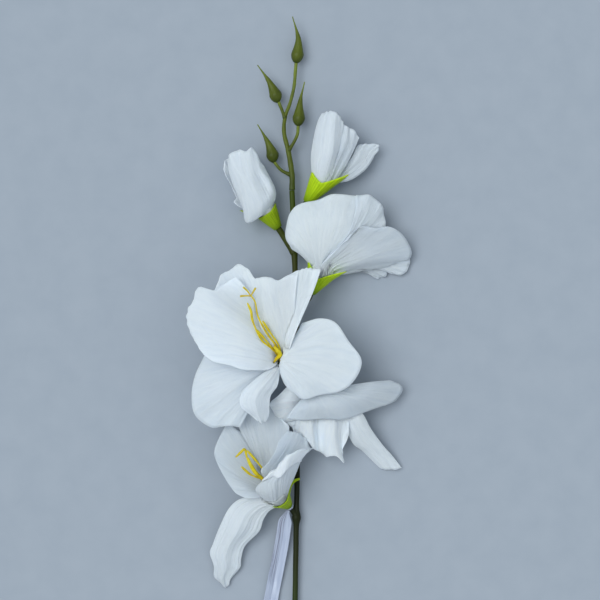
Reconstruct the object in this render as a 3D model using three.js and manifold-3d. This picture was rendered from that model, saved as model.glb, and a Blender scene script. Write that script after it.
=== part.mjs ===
// An artificial cut gladiolus with six white blooms and four closed buds, lying on a surface.
// Millimetres. +Y runs along the stem from the cut end to the tip, and +Z is up from the surface.
// The origin is on the surface, under the middle of the whole spray.
import * as THREE from "three";
import { mergeVertices } from "three/addons/utils/BufferGeometryUtils.js";
import Module from "manifold-3d";

const wasm = await Module();
wasm.setup();

// Stem
const STEM_RADIUS = 1.8;
const STEM_LOW = 1.5;
const STEM_SIDES = 8;
const STEM_STEPS = 18;
const STEM_ROUTE = [
  [-3.9, -260, STEM_LOW],
  [-3.6, -235, STEM_LOW],
  [-2.5, -118.3, 4.2],
  [-1.7, -66.3, 6],
  [-1.2, -33.9, 7],
  [-1.3, 11.4, 8.6],
  [-1.6, 56.7, 9.8],
  [-2.6, 96.7, 10.2],
  [-3.9, 130.9, 10],
  [-4.5, 146.8, 9.5],
];
const KNUCKLE_RADIUS = 2.7;
const KNUCKLE_LENGTH = 6;
const KNUCKLE_AT = [-1.8, -64.8, 6];
const KNUCKLE_FLATNESS = 0.9;
const WIRE_RADIUS = 0.6;
const WIRE_LENGTH = 40;
const WIRE_SIDES = 6;
const BORE_RADIUS = 0.95;
const BORE_SIDES = 8;
// The wire and its bore climb a little with the stem
const BORE_RISE = 0.2;
const WIRE_RISE = 0.19;
const CLEARANCE = 0.3;
// The block of ground that cuts the stem's underside flat: width, length and depth
const GROUND = [40, 400, 10];

// Side stalks that carry the blooms
const STALK_RADIUS = 2.1;
const PEG_RADIUS = 1.5;
const PEG_LENGTH = 3.5;
// A stalk bends into its calyx's axis over its last millimetres, after this share of its way there
const STALK_LEAD = 4;
const STALK_BEND = 0.6;
const STALK_SIDES = 6;
const STALK_STEPS = 4;

// Bud spray, plugged on the top of the stem
const SPRAY_FOOT_RADIUS = 1.85;
const SPRAY_TIP_RADIUS = 1.1;
const PLUG_RADIUS = 1;
const PLUG_LENGTH = 5;
const PLUG_DEPTH = 6;
const PLUG_OVERLAP = 2;
const PLUG_SIDES = 8;
// The plug and its socket lean with the stem, to the side and upwards
const PLUG_LEAN = [0.3, 0.1];
const SOCKET_LEAN = [0.35, 0.15];
const SPRAY_TAPER = 0.75;
const SPRAY_STEPS = 14;
const SPRAY_ROUTE = [
  [-4.5, 147.1, 9.5],
  [-4.5, 156.1, 9.4],
  [-6.8, 171.6, 9],
  [-9.7, 184.6, 8.6],
  [-9, 194.3, 8.4],
  [-5.8, 203.3, 8.2],
  [-3.2, 214.4, 8],
  [-2.4, 223.4, 7.8],
  [-1.9, 229.6, 7.6],
];
const BUD_STALK_RADIUS = 0.95;
const BUD_STALK_SIDES = 6;
const BUD_STALK_STEPS = 4;
const BUDS = [
  { stalk: [], axis: [[-1.9, 229, 7.6], [-1, 235.7, 7.8], [-0.6, 245.3, 8.4], [-4.2, 259.1, 9]] },
  {
    stalk: [[-9, 193.6, 8.4], [-11.3, 199.4, 8.6], [-13.4, 204.6, 8.8]],
    axis: [[-13.4, 203.6, 8.8], [-16.1, 210.4, 9], [-20, 218.1, 9.5], [-26.8, 227.7, 10]],
  },
  {
    stalk: [[-6.9, 172.3, 9], [-3.2, 178.1, 9.4], [-1, 183.2, 9.6], [-0.5, 189, 9.6]],
    axis: [[-0.5, 188.2, 9.6], [-0.2, 194.2, 9.8], [0.7, 203.8, 10.2], [3.6, 216.7, 10.8]],
  },
  {
    stalk: [[-5.5, 156.8, 9.4], [-11.6, 160, 9], [-16.3, 165.6, 8.8]],
    axis: [[-16.1, 164.8, 8.8], [-17.8, 171.6, 9], [-21.3, 180, 9.5], [-26.8, 189.4, 10]],
  },
];
// A bud is widest at a share of its length and tapers from there to its tip
const BUD_WIDEST = 4;
const BUD_WIDEST_AT = 0.2;
const BUD_FOOT = 0.9;
const BUD_TIP = 0.35;
const BUD_TAPER = 2.1;
const BUD_SIDES = 8;
const BUD_STEPS = 8;

// Calyx: a cone that opens from its foot, cut into three pointed lobes
const CALYX_FOOT_RADIUS = 2.2;
const CALYX_SLOPE = 0.45;
const CALYX_WALL = 0.8;
const CALYX_HOLE = 1.85;
const CALYX_HOLE_DEPTH = 2;
const CALYX_FLARE = 2;
const LOBE_HALF_WIDTH = 60;
const CALYX_SIDES = 12;
const CALYX_RINGS = 3;
const LOBE_SHARPNESS = 1.3;

// Petals: fans of woven cloth that wrap round the throat and then open
const PETAL_THICKNESS = 0.7;
const PETAL_INSET = 0.95;
const LAYER_STEP = 1;
const PETAL_ROOT = 7;
const CORE_GAP = 0.4;
const CORE_FOOT = 4;
const CORE_TOP = 9;
const CORE_SIDES = 12;
const RIB_SAMPLES = 60;
const OPENING = 12;

// Stamens
const FILAMENT_RADIUS = 0.6;
const FILAMENT_SIDES = 4;
const FILAMENT_STEPS = 7;
const STIGMA_STEPS = 2;
const STAMEN_FOOT_RADIUS = 1.9;
const STAMEN_FOOT_LENGTH = 7;
const STAMEN_FOOT_SIDES = 6;
const STAMEN_ROOT_DEPTH = 3;

// Label strip
const LABEL_WIDTH = 9;
const LABEL_NECK = 2.2;
const LABEL_NECK_END = 0.15;
const LABEL_FOLD = 2.2;
const LABEL_FOLD_END = 0.3;
const LABEL_LOOP_SIDES = 10;
const LABEL_THICKNESS = 0.6;
const LABEL_LOOP = [-2.1, -0.7];
const LABEL_GRID = [12, 4];
const LABEL_ROUTE = [
  [-7.1, -59.8, 10.2],
  [-8.1, -63, 8],
  [-9.4, -69.4, 5.6],
  [-10.8, -79.3, 4],
  [-13.2, -92.6, 2.2],
  [-15.8, -105.7, 1.1],
  [-19, -122.7, 0.5],
];

// Colours
const PETAL_WHITE = 0xe4ebf1;
const CALYX_GREEN = 0xa3c11f;
const STEM_GREEN = 0x1f2d10;
const SPRAY_GREEN = 0x5b6b1c;
const STAMEN_YELLOW = 0xd3b41a;
const LABEL_WHITE = 0xdcdfe8;
const STEEL_GREY = 0x9a9da0;

// Blooms, from the top of the stem down.
// base and axis place the calyx's foot, and stalk is the side stalk's start on the stem. slope is how fast
// the throat widens, mouth is where the petals leave it, and wrap is the half angle that a petal may take
// of it. notch is the calyx's height between its lobes, and lobes gives the height at each lobe's azimuth.
// A petal has its root's azimuth and layer, its rib's tip and the way the rib runs there, the fan's half
// angle on either side of the rib, the rim's reach at even steps from edge to edge, its cupping, and its
// waves as height, count and phase. face is the way its inner side looks at the tip, and handles say how
// straight the rib leaves the mouth and comes to the tip.
const BLOOMS = {
  a: {
    base: [-13.5, 122.5, 11],
    axis: [-0.46, 0.87, 0.17],
    mouth: 15,
    stalk: [-3.2, 106, 10.2],
    notch: 11,
    lobes: { 30: 17, 210: 24, 300: 16 },
    petals: [
      { root: 65, layer: 1, tip: [-35, 172.5, 22], end: [-0.3, 0.9, -0.3], fan: [20, 22],
        rim: [0.75, 0.94, 1.0, 0.98, 1.0, 0.93, 0.75], cup: 0.03, wave: [1, 4, 0] },
      { root: 130, layer: 0, tip: [-26, 128, 22.5], end: [0.4, -0.8, -0.4], fan: [18, 18],
        rim: [1.02, 1.03, 1.0, 1.0, 1.0, 1.03, 1.02], cup: -0.05, wave: [0.8, 3, 1],
        handles: [2.2, 1.8] },
      { root: -140, layer: 0, tip: [-46, 163, 9], end: [-0.5, 0.8, 0.2], fan: [18, 18],
        rim: [0.75, 0.93, 1.0, 0.97, 1.0, 0.95, 0.8], cup: 0.03, wave: [1, 4, 2] },
      { root: -20, layer: 0, tip: [-28, 160, 7], end: [-0.4, 0.9, 0.2], fan: [15, 13],
        rim: [0.75, 0.93, 1.0, 0.97, 1.0, 0.95, 0.8], cup: 0.03, wave: [1, 3, 0] },
    ],
  },
  b: {
    base: [5.2, 139.3, 11],
    axis: [0.55, 0.79, 0.26],
    mouth: 15,
    stalk: [-3.5, 124, 10.2],
    notch: 13,
    lobes: { 30: 26, 150: 17, 270: 16 },
    petals: [
      { root: 115, layer: 0, tip: [20, 197, 20], end: [0.3, 0.9, -0.2], fan: [24, 15],
        rim: [0.82, 0.93, 0.98, 1.0, 0.99, 0.93, 0.75], cup: 0.03, wave: [0.8, 3, 0] },
      { root: -120, layer: 0, tip: [35, 181, 5], end: [0.5, 0.8, 0.3], fan: [14, 14],
        rim: [0.75, 0.93, 1.0, 0.97, 1.0, 0.93, 0.75], cup: 0.03, wave: [0.8, 3, 1] },
      { root: 5, layer: 0, tip: [50, 175, 14], end: [0.7, 0.6, 0.1], fan: [12, 16],
        rim: [0.8, 0.96, 1.0, 1.0, 0.96, 0.93, 0.8], cup: 0.03, wave: [0.8, 3, 2],
        face: [-0.4, 0.4, -0.8] },
    ],
  },
  c: {
    base: [7.7, 80.6, 12],
    axis: [0.43, 0.88, 0.21],
    mouth: 18,
    stalk: [-1.9, 70, 10],
    notch: 12,
    lobes: { 30: 24, 150: 18, 270: 16 },
    petals: [
      { root: 120, layer: 0, tip: [11, 138, 29], end: [-0.2, 0.9, -0.3], fan: [30, 27],
        rim: [1.02, 1.04, 1.0, 1.0, 1.0, 0.95, 0.75], cup: 0.01, wave: [1.2, 3, 0], face: [0.2, 0, -1] },
      { root: 60, layer: 1, tip: [52, 137, 22], end: [0.5, 0.8, -0.3], fan: [20, 20],
        rim: [0.85, 0.95, 1.0, 1.0, 0.98, 0.95, 0.85], cup: 0.015, wave: [1.2, 3, 1],
        face: [-0.1, 0.1, -1] },
      { root: 0, layer: 0, tip: [71, 105, 12], end: [0.9, -0.2, -0.2], fan: [24, 26],
        rim: [0.75, 0.92, 0.98, 1.0, 0.98, 0.94, 0.8], cup: 0.01, wave: [1.5, 3, 2],
        face: [-0.2, 0.3, -1] },
      { root: -60, layer: 1, tip: [52, 93, 1], end: [0.9, -0.3, -0.1], fan: [16, 14],
        rim: [0.75, 0.93, 1.0, 0.97, 1.0, 0.93, 0.75], cup: 0.01, wave: [1.2, 3, 0], face: [0, 0.2, 1] },
      { root: -120, layer: 0, tip: [42, 129, 1], end: [0.5, 0.8, -0.1], fan: [20, 20],
        rim: [0.75, 0.93, 1.0, 0.97, 1.0, 0.93, 0.75], cup: 0.01, wave: [1.2, 3, 1], face: [0, 0, 1] },
      { root: 180, layer: 1, tip: [20, 128, 3], end: [0.1, 1, -0.1], fan: [14, 16],
        rim: [0.75, 0.93, 1.0, 0.97, 1.0, 0.93, 0.75], cup: 0.01, wave: [1.2, 3, 2], face: [0.4, 0, 1] },
    ],
  },
  d: {
    base: [-9.5, 33, 14.5],
    axis: [-0.12, 0.36, 0.92],
    slope: 0.25,
    mouth: 16,
    stalk: [-1.3, 24, 8.8],
    notch: 10,
    wrap: 32,
    lobes: { 30: 16, 150: 16, 270: 16 },
    petals: [
      { root: 30, layer: 1, tip: [39, 39.5, 42], end: [0.9, 0, -0.2], fan: [29, 34],
        rim: [0.72, 0.85, 0.92, 1.0, 0.99, 0.9, 0.64], cup: 0.005, wave: [1.5, 3, 0], face: [-0.1, 0, 1],
        grid: [7, 8] },
      { root: -30, layer: 0, tip: [0, 96, 36], end: [0.1, 0.9, -0.1], fan: [20, 11],
        rim: [0.95, 0.97, 1.0, 1.0, 1.01, 1.02, 1.05], cup: 0.004, wave: [1.2, 3, 1], face: [0, -0.2, 1],
        grid: [7, 8] },
      { root: -90, layer: 1, tip: [-31, 97, 37], end: [-0.2, 0.9, -0.1], fan: [22, 22],
        rim: [0.98, 0.97, 1.03, 1.01, 0.92, 0.98, 0.94], cup: 0.004, wave: [2, 4, 2], face: [0, -0.2, 1],
        grid: [7, 8] },
      { root: -150, layer: 1, tip: [-70, 66, 43], end: [-0.9, 0.3, -0.1], fan: [27, 26],
        rim: [0.72, 0.86, 0.97, 1.0, 0.95, 0.97, 0.86], cup: 0.004, wave: [2, 4, 0], face: [0.1, 0, 1],
        grid: [7, 8] },
      { root: 150, layer: 0, tip: [-64.5, 3, 34], end: [-0.7, -0.7, -0.2], fan: [24, 26],
        rim: [0.82, 0.9, 0.98, 1.0, 0.97, 0.89, 0.78], cup: 0.004, wave: [1.5, 3, 1], face: [0, 0.1, 1],
        grid: [7, 8] },
      { root: 90, layer: 1, tip: [-27, -1.5, 41], end: [-0.1, -0.9, -0.3], fan: [13, 17],
        rim: [0.8, 0.93, 0.97, 1.0, 0.95, 0.9, 0.7], cup: 0.006, wave: [1, 3, 2], face: [0, 0.1, 1] },
    ],
  },
  e: {
    base: [12.2, 29.7, 12],
    axis: [0.1, -0.9, 0.42],
    mouth: 18,
    stalk: [-1.3, 36, 9.4],
    notch: 10,
    lobes: { 30: 17, 150: 17, 270: 15 },
    petals: [
      { root: 90, layer: 0, tip: [14, 1.5, 31], end: [0, -0.5, 0.8], fan: [38, 38],
        rim: [1.03, 1.02, 1.01, 1.0, 1.01, 1.02, 1.03], cup: 0.002, wave: [0.8, 3, 0] },
      { root: 150, layer: 1, tip: [66, 20.5, 20], end: [0.9, 0.1, -0.2], fan: [11, 15],
        rim: [0.75, 0.93, 1.0, 0.99, 0.97, 0.9, 0.7], cup: 0.02, wave: [1, 3, 1], face: [0, -0.3, 1] },
      { root: 30, layer: 1, tip: [-18, 9, 24], end: [-0.9, -0.2, 0.1], fan: [22, 24],
        rim: [0.9, 0.95, 1.0, 1.0, 0.97, 0.93, 0.85], cup: 0.01, wave: [1, 3, 2], face: [0.2, -0.3, 1] },
      { root: -30, layer: 0, tip: [-5.5, -6.5, 18], end: [-0.7, -0.5, 0.1], fan: [20, 20],
        rim: [0.8, 0.93, 1.0, 0.97, 1.0, 0.93, 0.8], cup: 0.01, wave: [1, 3, 0], face: [0, 0, 1] },
      { root: -90, layer: 1, tip: [15, -27, 4], end: [0, -0.9, -0.1], fan: [24, 26],
        rim: [0.66, 0.84, 1.0, 0.99, 1.0, 0.84, 0.62], cup: 0.005, wave: [2.2, 6, 1], face: [0.25, 0, 1],
        grid: [7, 8] },
      { root: -150, layer: 0, tip: [60, -34, 1], end: [0.6, -0.7, -0.1], fan: [9, 15],
        rim: [0.98, 1.02, 1.01, 1.0, 0.9, 0.75, 0.6], cup: 0.02, wave: [1, 3, 2], face: [-0.3, -0.3, 1] },
    ],
  },
  f: {
    base: [-6.8, -56.6, 10],
    axis: [-0.525, 0.557, 0.643],
    mouth: 20,
    stalk: [-1.9, -63, 6.6],
    notch: 8,
    wrap: 42,
    lobes: { 10: 19, 130: 12, 250: 15 },
    petals: [
      { root: -140, layer: 1, tip: [-53, -23, 26], end: [-0.8, 0.3, 0.1], fan: [26, 30],
        rim: [0.7, 0.86, 0.96, 1.0, 0.97, 0.93, 0.85], cup: 0.012, wave: [1.5, 3, 0], face: [0.3, -0.1, 1],
        grid: [7, 6] },
      { root: -45, layer: 1, tip: [-22, -3, 22], end: [0.1, 0.9, -0.1], fan: [26, 24],
        rim: [0.8, 0.93, 1.0, 0.97, 1.0, 0.93, 0.8], cup: 0.01, wave: [1.5, 3, 1], face: [0, -0.3, 1],
        grid: [7, 6] },
      { root: 5, layer: 0, tip: [5.5, -14, 24], end: [0.7, 0.5, 0], fan: [18, 18],
        rim: [0.85, 0.95, 1.0, 1.0, 0.98, 0.93, 0.8], cup: 0.02, wave: [1, 3, 2], face: [-0.6, 0.1, 0.8] },
      { root: 65, layer: 1, tip: [-10, -30, 38], end: [0.4, 0.3, 0.8], fan: [26, 26],
        rim: [0.9, 0.96, 1.0, 0.98, 1.0, 0.96, 0.9], cup: 0.03, wave: [1, 3, 0] },
      { root: 175, layer: 0, tip: [-50, -103.5, 1], end: [-0.4, -0.9, -0.1], fan: [17, 17],
        rim: [0.6, 0.75, 0.96, 1.0, 0.93, 0.8, 0.62], cup: 0.01, wave: [1.2, 3, 1], face: [0.2, 0.1, 1],
        handles: [0.25, 0.4] },
      { root: -100, layer: 0, tip: [-38, -9, 17], end: [-0.5, 0.8, 0], fan: [20, 20],
        rim: [0.8, 0.93, 1.0, 0.97, 1.0, 0.93, 0.8], cup: 0.01, wave: [1.2, 3, 2], face: [0.2, -0.2, 1] },
    ],
  },
};
const PETAL_GRID = [6, 6];
const THROAT_WRAP = 52;

// Stamens of the open blooms: filaments that rise from the bunch's foot, and a style's forked stigmas
const STAMENS = {
  c: {
    filaments: [
      [[18.5, 102, 17], [24, 113, 19], [28, 121, 17]],
      [[17.5, 103, 18], [20, 114, 19], [22, 121, 16]],
      [[19.5, 101.5, 17], [27, 111, 18], [33, 117, 16]],
    ],
    stigmas: [],
  },
  d: {
    filaments: [
      [[-12.2, 41, 31], [-15, 47.8, 37.5], [-19.9, 54.4, 42], [-25.8, 65.9, 46], [-27.8, 75.4, 48.5],
        [-30.5, 79.2, 49]],
      [[-12.8, 41, 31.5], [-18.1, 45.9, 38], [-23.7, 51, 43], [-29.3, 63.6, 46.5], [-30.1, 68.9, 47.5],
        [-32.4, 74.2, 48]],
      [[-11.6, 41.4, 31], [-13.1, 47.8, 38], [-17.6, 54.8, 43], [-22.9, 62.8, 46]],
      [[-13.2, 40.5, 31], [-17.1, 45.7, 37], [-21.8, 51.7, 42], [-27, 57.5, 45]],
    ],
    stigmas: [
      [[-30.2, 78.6, 49], [-32.6, 82, 49.5], [-35, 84.1, 50]],
      [[-30.2, 78.6, 49], [-28.5, 81.4, 49.5], [-27.2, 83.6, 50]],
      [[-30.2, 78.6, 49], [-33.8, 78.7, 49.5], [-36.9, 78.4, 49.5]],
    ],
  },
  e: {
    filaments: [
      [[14.3, 13, 20], [14.5, 8, 21.5], [13, 3, 21]],
      [[15, 13, 20], [17, 8, 21], [18.5, 4, 20]],
      [[13.5, 13, 20], [11.5, 9, 21], [9, 6, 20]],
    ],
    stigmas: [],
  },
  f: {
    filaments: [
      [[-19.5, -43, 24], [-23.6, -37.5, 27], [-27.5, -34.9, 30], [-31, -29.2, 33], [-32.8, -24.5, 35],
        [-34.5, -18.4, 36.5], [-36.7, -20.2, 37.5], [-40, -23.4, 37]],
      [[-18.5, -42, 24.5], [-21, -34.9, 28], [-23.8, -30.3, 31], [-28.3, -24.6, 34], [-32.8, -19.3, 36]],
      [[-20, -43.5, 23.5], [-23.6, -38.4, 26], [-27.5, -36.6, 29], [-31.1, -34.7, 31], [-36.5, -29.7, 33.5]],
    ],
    stigmas: [],
  },
};

const radians = THREE.MathUtils.degToRad;
const vector = (list) => new THREE.Vector3(...list);
const smooth = THREE.MathUtils.smoothstep;

// Solids

function solidFrom(geometry) {
  const bare = geometry.clone();
  bare.deleteAttribute("normal");
  bare.deleteAttribute("uv");
  const merged = mergeVertices(bare, 1e-4);
  return new wasm.Manifold(
    new wasm.Mesh({
      numProp: 3,
      vertProperties: new Float32Array(merged.attributes.position.array),
      triVerts: new Uint32Array(merged.index.array),
    }),
  );
}

const joined = (solids) => solids.reduce((sum, solid) => sum.add(solid));

// The largest body of a solid, without the hollows that joining sealed and without loose scraps.
function mainBody(solid) {
  return solid.decompose().reduce((most, body) => (body.volume() > most.volume() ? body : most));
}

function meshOf(name, solid, colour, roughness, metalness = 0) {
  const { vertProperties, triVerts } = mainBody(solid).getMesh();
  const geometry = new THREE.BufferGeometry();
  geometry.setAttribute("position", new THREE.BufferAttribute(vertProperties, 3));
  geometry.setIndex(new THREE.BufferAttribute(triVerts, 1));
  geometry.computeVertexNormals();
  const material = new THREE.MeshStandardMaterial({ color: colour, roughness, metalness });
  material.side = THREE.DoubleSide;
  const mesh = new THREE.Mesh(geometry, material);
  mesh.name = name;
  return mesh;
}

// A closed tube of varying radius along a route, as rings of points with flat ends.
function tubeGeometry(route, radiusAt, sides, steps) {
  const curve = new THREE.CatmullRomCurve3(route.map(vector), false, "centripetal");
  const section = new THREE.Shape(
    Array.from({ length: sides }, (_, i) => {
      const turn = (2 * Math.PI * i) / sides;
      return new THREE.Vector2(Math.cos(turn), Math.sin(turn));
    }),
  );
  const geometry = new THREE.ExtrudeGeometry(section, { steps, extrudePath: curve, bevelEnabled: false });
  const position = geometry.attributes.position;
  const point = new THREE.Vector3();
  const centres = curve.getSpacedPoints(steps);
  for (let i = 0; i < position.count; i++) {
    point.fromBufferAttribute(position, i);
    let nearest = 0;
    centres.forEach((centre, k) => {
      if (centre.distanceToSquared(point) < centres[nearest].distanceToSquared(point)) nearest = k;
    });
    const centre = centres[nearest];
    point.sub(centre).multiplyScalar(radiusAt(nearest / steps)).add(centre);
    position.setXYZ(i, point.x, point.y, point.z);
  }
  return geometry;
}

// A closed sheet: the middle surface given by at(u, v), with a face on either side of it. Both faces have
// the same split into triangles.
function sheetGeometry(at, [rows, columns], thickness) {
  const middle = [];
  for (let i = 0; i <= rows; i++)
    for (let j = 0; j <= columns; j++) middle.push(at(i / rows, (2 * j) / columns - 1));
  const index = (i, j) => i * (columns + 1) + j;
  const pick = (i, j) =>
    middle[index(THREE.MathUtils.clamp(i, 0, rows), THREE.MathUtils.clamp(j, 0, columns))];
  const count = middle.length;
  const points = new Float32Array(count * 6);
  for (let i = 0; i <= rows; i++)
    for (let j = 0; j <= columns; j++) {
      const along = pick(i + 1, j).clone().sub(pick(i - 1, j));
      const across = pick(i, j + 1).clone().sub(pick(i, j - 1));
      const normal = along.cross(across).setLength(thickness / 2);
      const here = index(i, j);
      pick(i, j).clone().add(normal).toArray(points, here * 3);
      pick(i, j).clone().sub(normal).toArray(points, (count + here) * 3);
    }
  const faces = [];
  const quad = (a, b, c, d) => faces.push(a, b, c, a, c, d);
  for (let i = 0; i < rows; i++)
    for (let j = 0; j < columns; j++) {
      const [a, b, c, d] = [index(i, j), index(i + 1, j), index(i + 1, j + 1), index(i, j + 1)];
      quad(a, b, c, d);
      faces.push(count + a, count + c, count + b, count + a, count + d, count + c);
    }
  for (let i = 0; i < rows; i++) {
    quad(index(i + 1, 0), index(i, 0), count + index(i, 0), count + index(i + 1, 0));
    const [low, high] = [index(i, columns), index(i + 1, columns)];
    quad(low, high, count + high, count + low);
  }
  for (let j = 0; j < columns; j++) {
    quad(index(0, j), index(0, j + 1), count + index(0, j + 1), count + index(0, j));
    quad(index(rows, j + 1), index(rows, j), count + index(rows, j), count + index(rows, j + 1));
  }
  const geometry = new THREE.BufferGeometry();
  geometry.setAttribute("position", new THREE.BufferAttribute(points, 3));
  geometry.setIndex(faces);
  return geometry;
}

// Bloom frame

const throatRadius = (bloom, s) => CALYX_FOOT_RADIUS + (bloom.slope ?? CALYX_SLOPE) * s;

function bloomFrame(bloom) {
  const base = vector(bloom.base);
  const axis = vector(bloom.axis).normalize();
  const right = axis.clone().cross(new THREE.Vector3(0, 0, 1)).normalize();
  const over = right.clone().cross(axis);
  // The point at a distance s along the axis and r from it, at an azimuth in degrees
  const at = (s, r, azimuth) =>
    base
      .clone()
      .addScaledVector(axis, s)
      .addScaledVector(right, r * Math.cos(radians(azimuth)))
      .addScaledVector(over, r * Math.sin(radians(azimuth)));
  return { base, axis, right, over, at };
}

// A solid turned round the bloom's axis from a profile of [radius, distance] points
function turned(frame, profile, sides) {
  const geometry = new THREE.LatheGeometry(
    profile.map(([r, s]) => new THREE.Vector2(r, s)),
    sides,
  );
  const basis = new THREE.Matrix4().makeBasis(frame.right, frame.axis, frame.over);
  return solidFrom(geometry.applyMatrix4(basis.setPosition(frame.base)));
}

// Petals

// The rib of a petal: up the throat and out to the tip, with the sheet's side and inward directions
function petalRib(bloom, frame, petal) {
  const radiusAt = (s) => throatRadius(bloom, s) - PETAL_INSET - LAYER_STEP * petal.layer;
  const foot = frame.at(PETAL_ROOT, radiusAt(PETAL_ROOT), petal.root);
  const mouth = frame.at(bloom.mouth, radiusAt(bloom.mouth), petal.root);
  const rise = mouth.clone().sub(foot).normalize();
  const tip = vector(petal.tip);
  const reach = tip.distanceTo(mouth);
  const [leave, arrive] = petal.handles ?? [0.4, 0.35];
  const path = new THREE.CurvePath();
  path.add(new THREE.LineCurve3(foot, mouth));
  path.add(
    new THREE.CubicBezierCurve3(
      mouth,
      mouth.clone().addScaledVector(rise, reach * leave),
      tip.clone().addScaledVector(vector(petal.end).normalize(), -reach * arrive),
      tip,
    ),
  );
  const points = path.getSpacedPoints(RIB_SAMPLES);
  const length = path.getLength();
  const carried = frame.base.clone().sub(frame.at(0, 1, petal.root));
  const ribs = points.map((point, i) => {
    const before = points[Math.max(i - 1, 0)];
    const after = points[Math.min(i + 1, RIB_SAMPLES)];
    const along = after.clone().sub(before).normalize();
    carried.addScaledVector(along, -carried.dot(along)).normalize();
    return { point, along, inward: carried.clone() };
  });
  if (petal.face) {
    const last = ribs[RIB_SAMPLES];
    const side = last.along.clone().cross(last.inward);
    const face = vector(petal.face);
    const twist = Math.atan2(face.dot(side), face.dot(last.inward));
    ribs.forEach((rib, i) => {
      rib.inward.applyAxisAngle(rib.along, twist * smooth(i / RIB_SAMPLES, 0.2, 1));
    });
  }
  ribs.forEach((rib) => {
    rib.side = rib.along.clone().cross(rib.inward);
  });
  return { ribs, length, radiusAt, mouthLength: bloom.mouth };
}

// The middle surface of a petal at u from root to rim and v from edge to edge
function petalSurface(bloom, frame, petal) {
  const { ribs, length, radiusAt, mouthLength } = petalRib(bloom, frame, petal);
  const flat = PETAL_ROOT + length;
  const floor = PETAL_THICKNESS / 2;
  const [height, waves, phase] = petal.wave;
  const wrap = radians(bloom.wrap ?? THROAT_WRAP);
  const outline = new THREE.SplineCurve(petal.rim.map((reach, i) => new THREE.Vector2(i, reach)));
  const rimAt = (v) => outline.getPoint((v + 1) / 2).y;
  return (u, v) => {
    const edge = v < 0 ? 0 : 1;
    const angle = v * radians(petal.fan[edge]);
    const rim = flat * rimAt(v);
    const span = THREE.MathUtils.lerp(PETAL_ROOT / Math.cos(angle), rim, u);
    const a = span * Math.cos(angle);
    let b = span * Math.sin(angle);
    const t = ((a - PETAL_ROOT) / length) * RIB_SAMPLES;
    const k = THREE.MathUtils.clamp(Math.floor(t), 0, RIB_SAMPLES - 1);
    const [rib, next] = [ribs[k], ribs[k + 1]];
    const mix = t - k;
    const open = smooth(a, mouthLength - 3, mouthLength + OPENING);
    const throat = radiusAt(Math.min(a, mouthLength + OPENING));
    const limit = wrap * throat;
    if (Math.abs(b) > limit) b = THREE.MathUtils.lerp(Math.sign(b) * limit, b, open);
    const bend = THREE.MathUtils.lerp(1 / throat, petal.cup, open);
    const turn = bend * b;
    const sideways = Math.abs(turn) < 1e-4 ? b : Math.sin(turn) / bend;
    const lifted = Math.abs(turn) < 1e-4 ? 0 : (1 - Math.cos(turn)) / bend;
    const far = smooth(span / flat, 0.3, 1);
    const wave = height * far * far * Math.sin(waves * v * Math.PI * 0.5 + phase);
    const point = rib.point
      .clone()
      .lerp(next.point, mix)
      .addScaledVector(rib.side.clone().lerp(next.side, mix), sideways)
      .addScaledVector(rib.inward.clone().lerp(next.inward, mix), lifted + wave);
    const above = point.z - floor;
    point.z = floor + 0.5 * (above + Math.sqrt(above * above + 1));
    return point;
  };
}

function petalsSolid(bloom, frame) {
  const core = turned(
    frame,
    [
      [0, CORE_FOOT],
      [throatRadius(bloom, CORE_FOOT) - CORE_GAP, CORE_FOOT],
      [throatRadius(bloom, CORE_TOP) - CORE_GAP, CORE_TOP],
      [0, CORE_TOP],
    ],
    CORE_SIDES,
  );
  const petals = bloom.petals.map((petal) =>
    solidFrom(
      sheetGeometry(petalSurface(bloom, frame, petal), petal.grid ?? PETAL_GRID, PETAL_THICKNESS),
    ),
  );
  return joined([core, ...petals]);
}

// Calyx

function calyxSolid(bloom, frame) {
  const lobeAt = (azimuth) => {
    const heights = Object.entries(bloom.lobes).map(([centre, height]) => {
      const off = Math.abs(((azimuth - Number(centre) + 540) % 360) - 180) / LOBE_HALF_WIDTH;
      return bloom.notch + (height - bloom.notch) * Math.max(1 - off, 0) ** LOBE_SHARPNESS;
    });
    return Math.max(...heights);
  };
  const flare = (s) => CALYX_FLARE * Math.max((s - bloom.notch) / 10, 0) ** 2;
  const inner = (s) => (s <= CALYX_HOLE_DEPTH ? CALYX_HOLE : throatRadius(bloom, s) + flare(s));
  const outer = (s) => throatRadius(bloom, s) + CALYX_WALL + flare(s);
  const ring = 2 * (CALYX_RINGS + 2);
  const points = [];
  for (let i = 0; i < CALYX_SIDES; i++) {
    const azimuth = (360 * i) / CALYX_SIDES;
    const top = lobeAt(azimuth);
    const inside = [0, CALYX_HOLE_DEPTH];
    for (let k = 0; k < CALYX_RINGS; k++)
      inside.push(
        CALYX_HOLE_DEPTH + 1 + ((top - CALYX_HOLE_DEPTH - 1) * k) / (CALYX_RINGS - 1),
      );
    const outside = Array.from({ length: CALYX_RINGS + 2 }, (_, k) => (top * k) / (CALYX_RINGS + 1));
    inside.forEach((s) => points.push(frame.at(s, inner(s), azimuth)));
    outside.reverse().forEach((s) => points.push(frame.at(s, outer(s), azimuth)));
  }
  const faces = [];
  for (let i = 0; i < CALYX_SIDES; i++)
    for (let k = 0; k < ring; k++) {
      const [here, there] = [i * ring, ((i + 1) % CALYX_SIDES) * ring];
      const up = (k + 1) % ring;
      faces.push(here + k, there + k, there + up, here + k, there + up, here + up);
    }
  const geometry = new THREE.BufferGeometry();
  geometry.setAttribute(
    "position",
    new THREE.BufferAttribute(new Float32Array(points.flatMap((p) => p.toArray())), 3),
  );
  geometry.setIndex(faces);
  return solidFrom(geometry);
}

// Stamens: a foot on the petals' core, and filaments that rise from it

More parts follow.
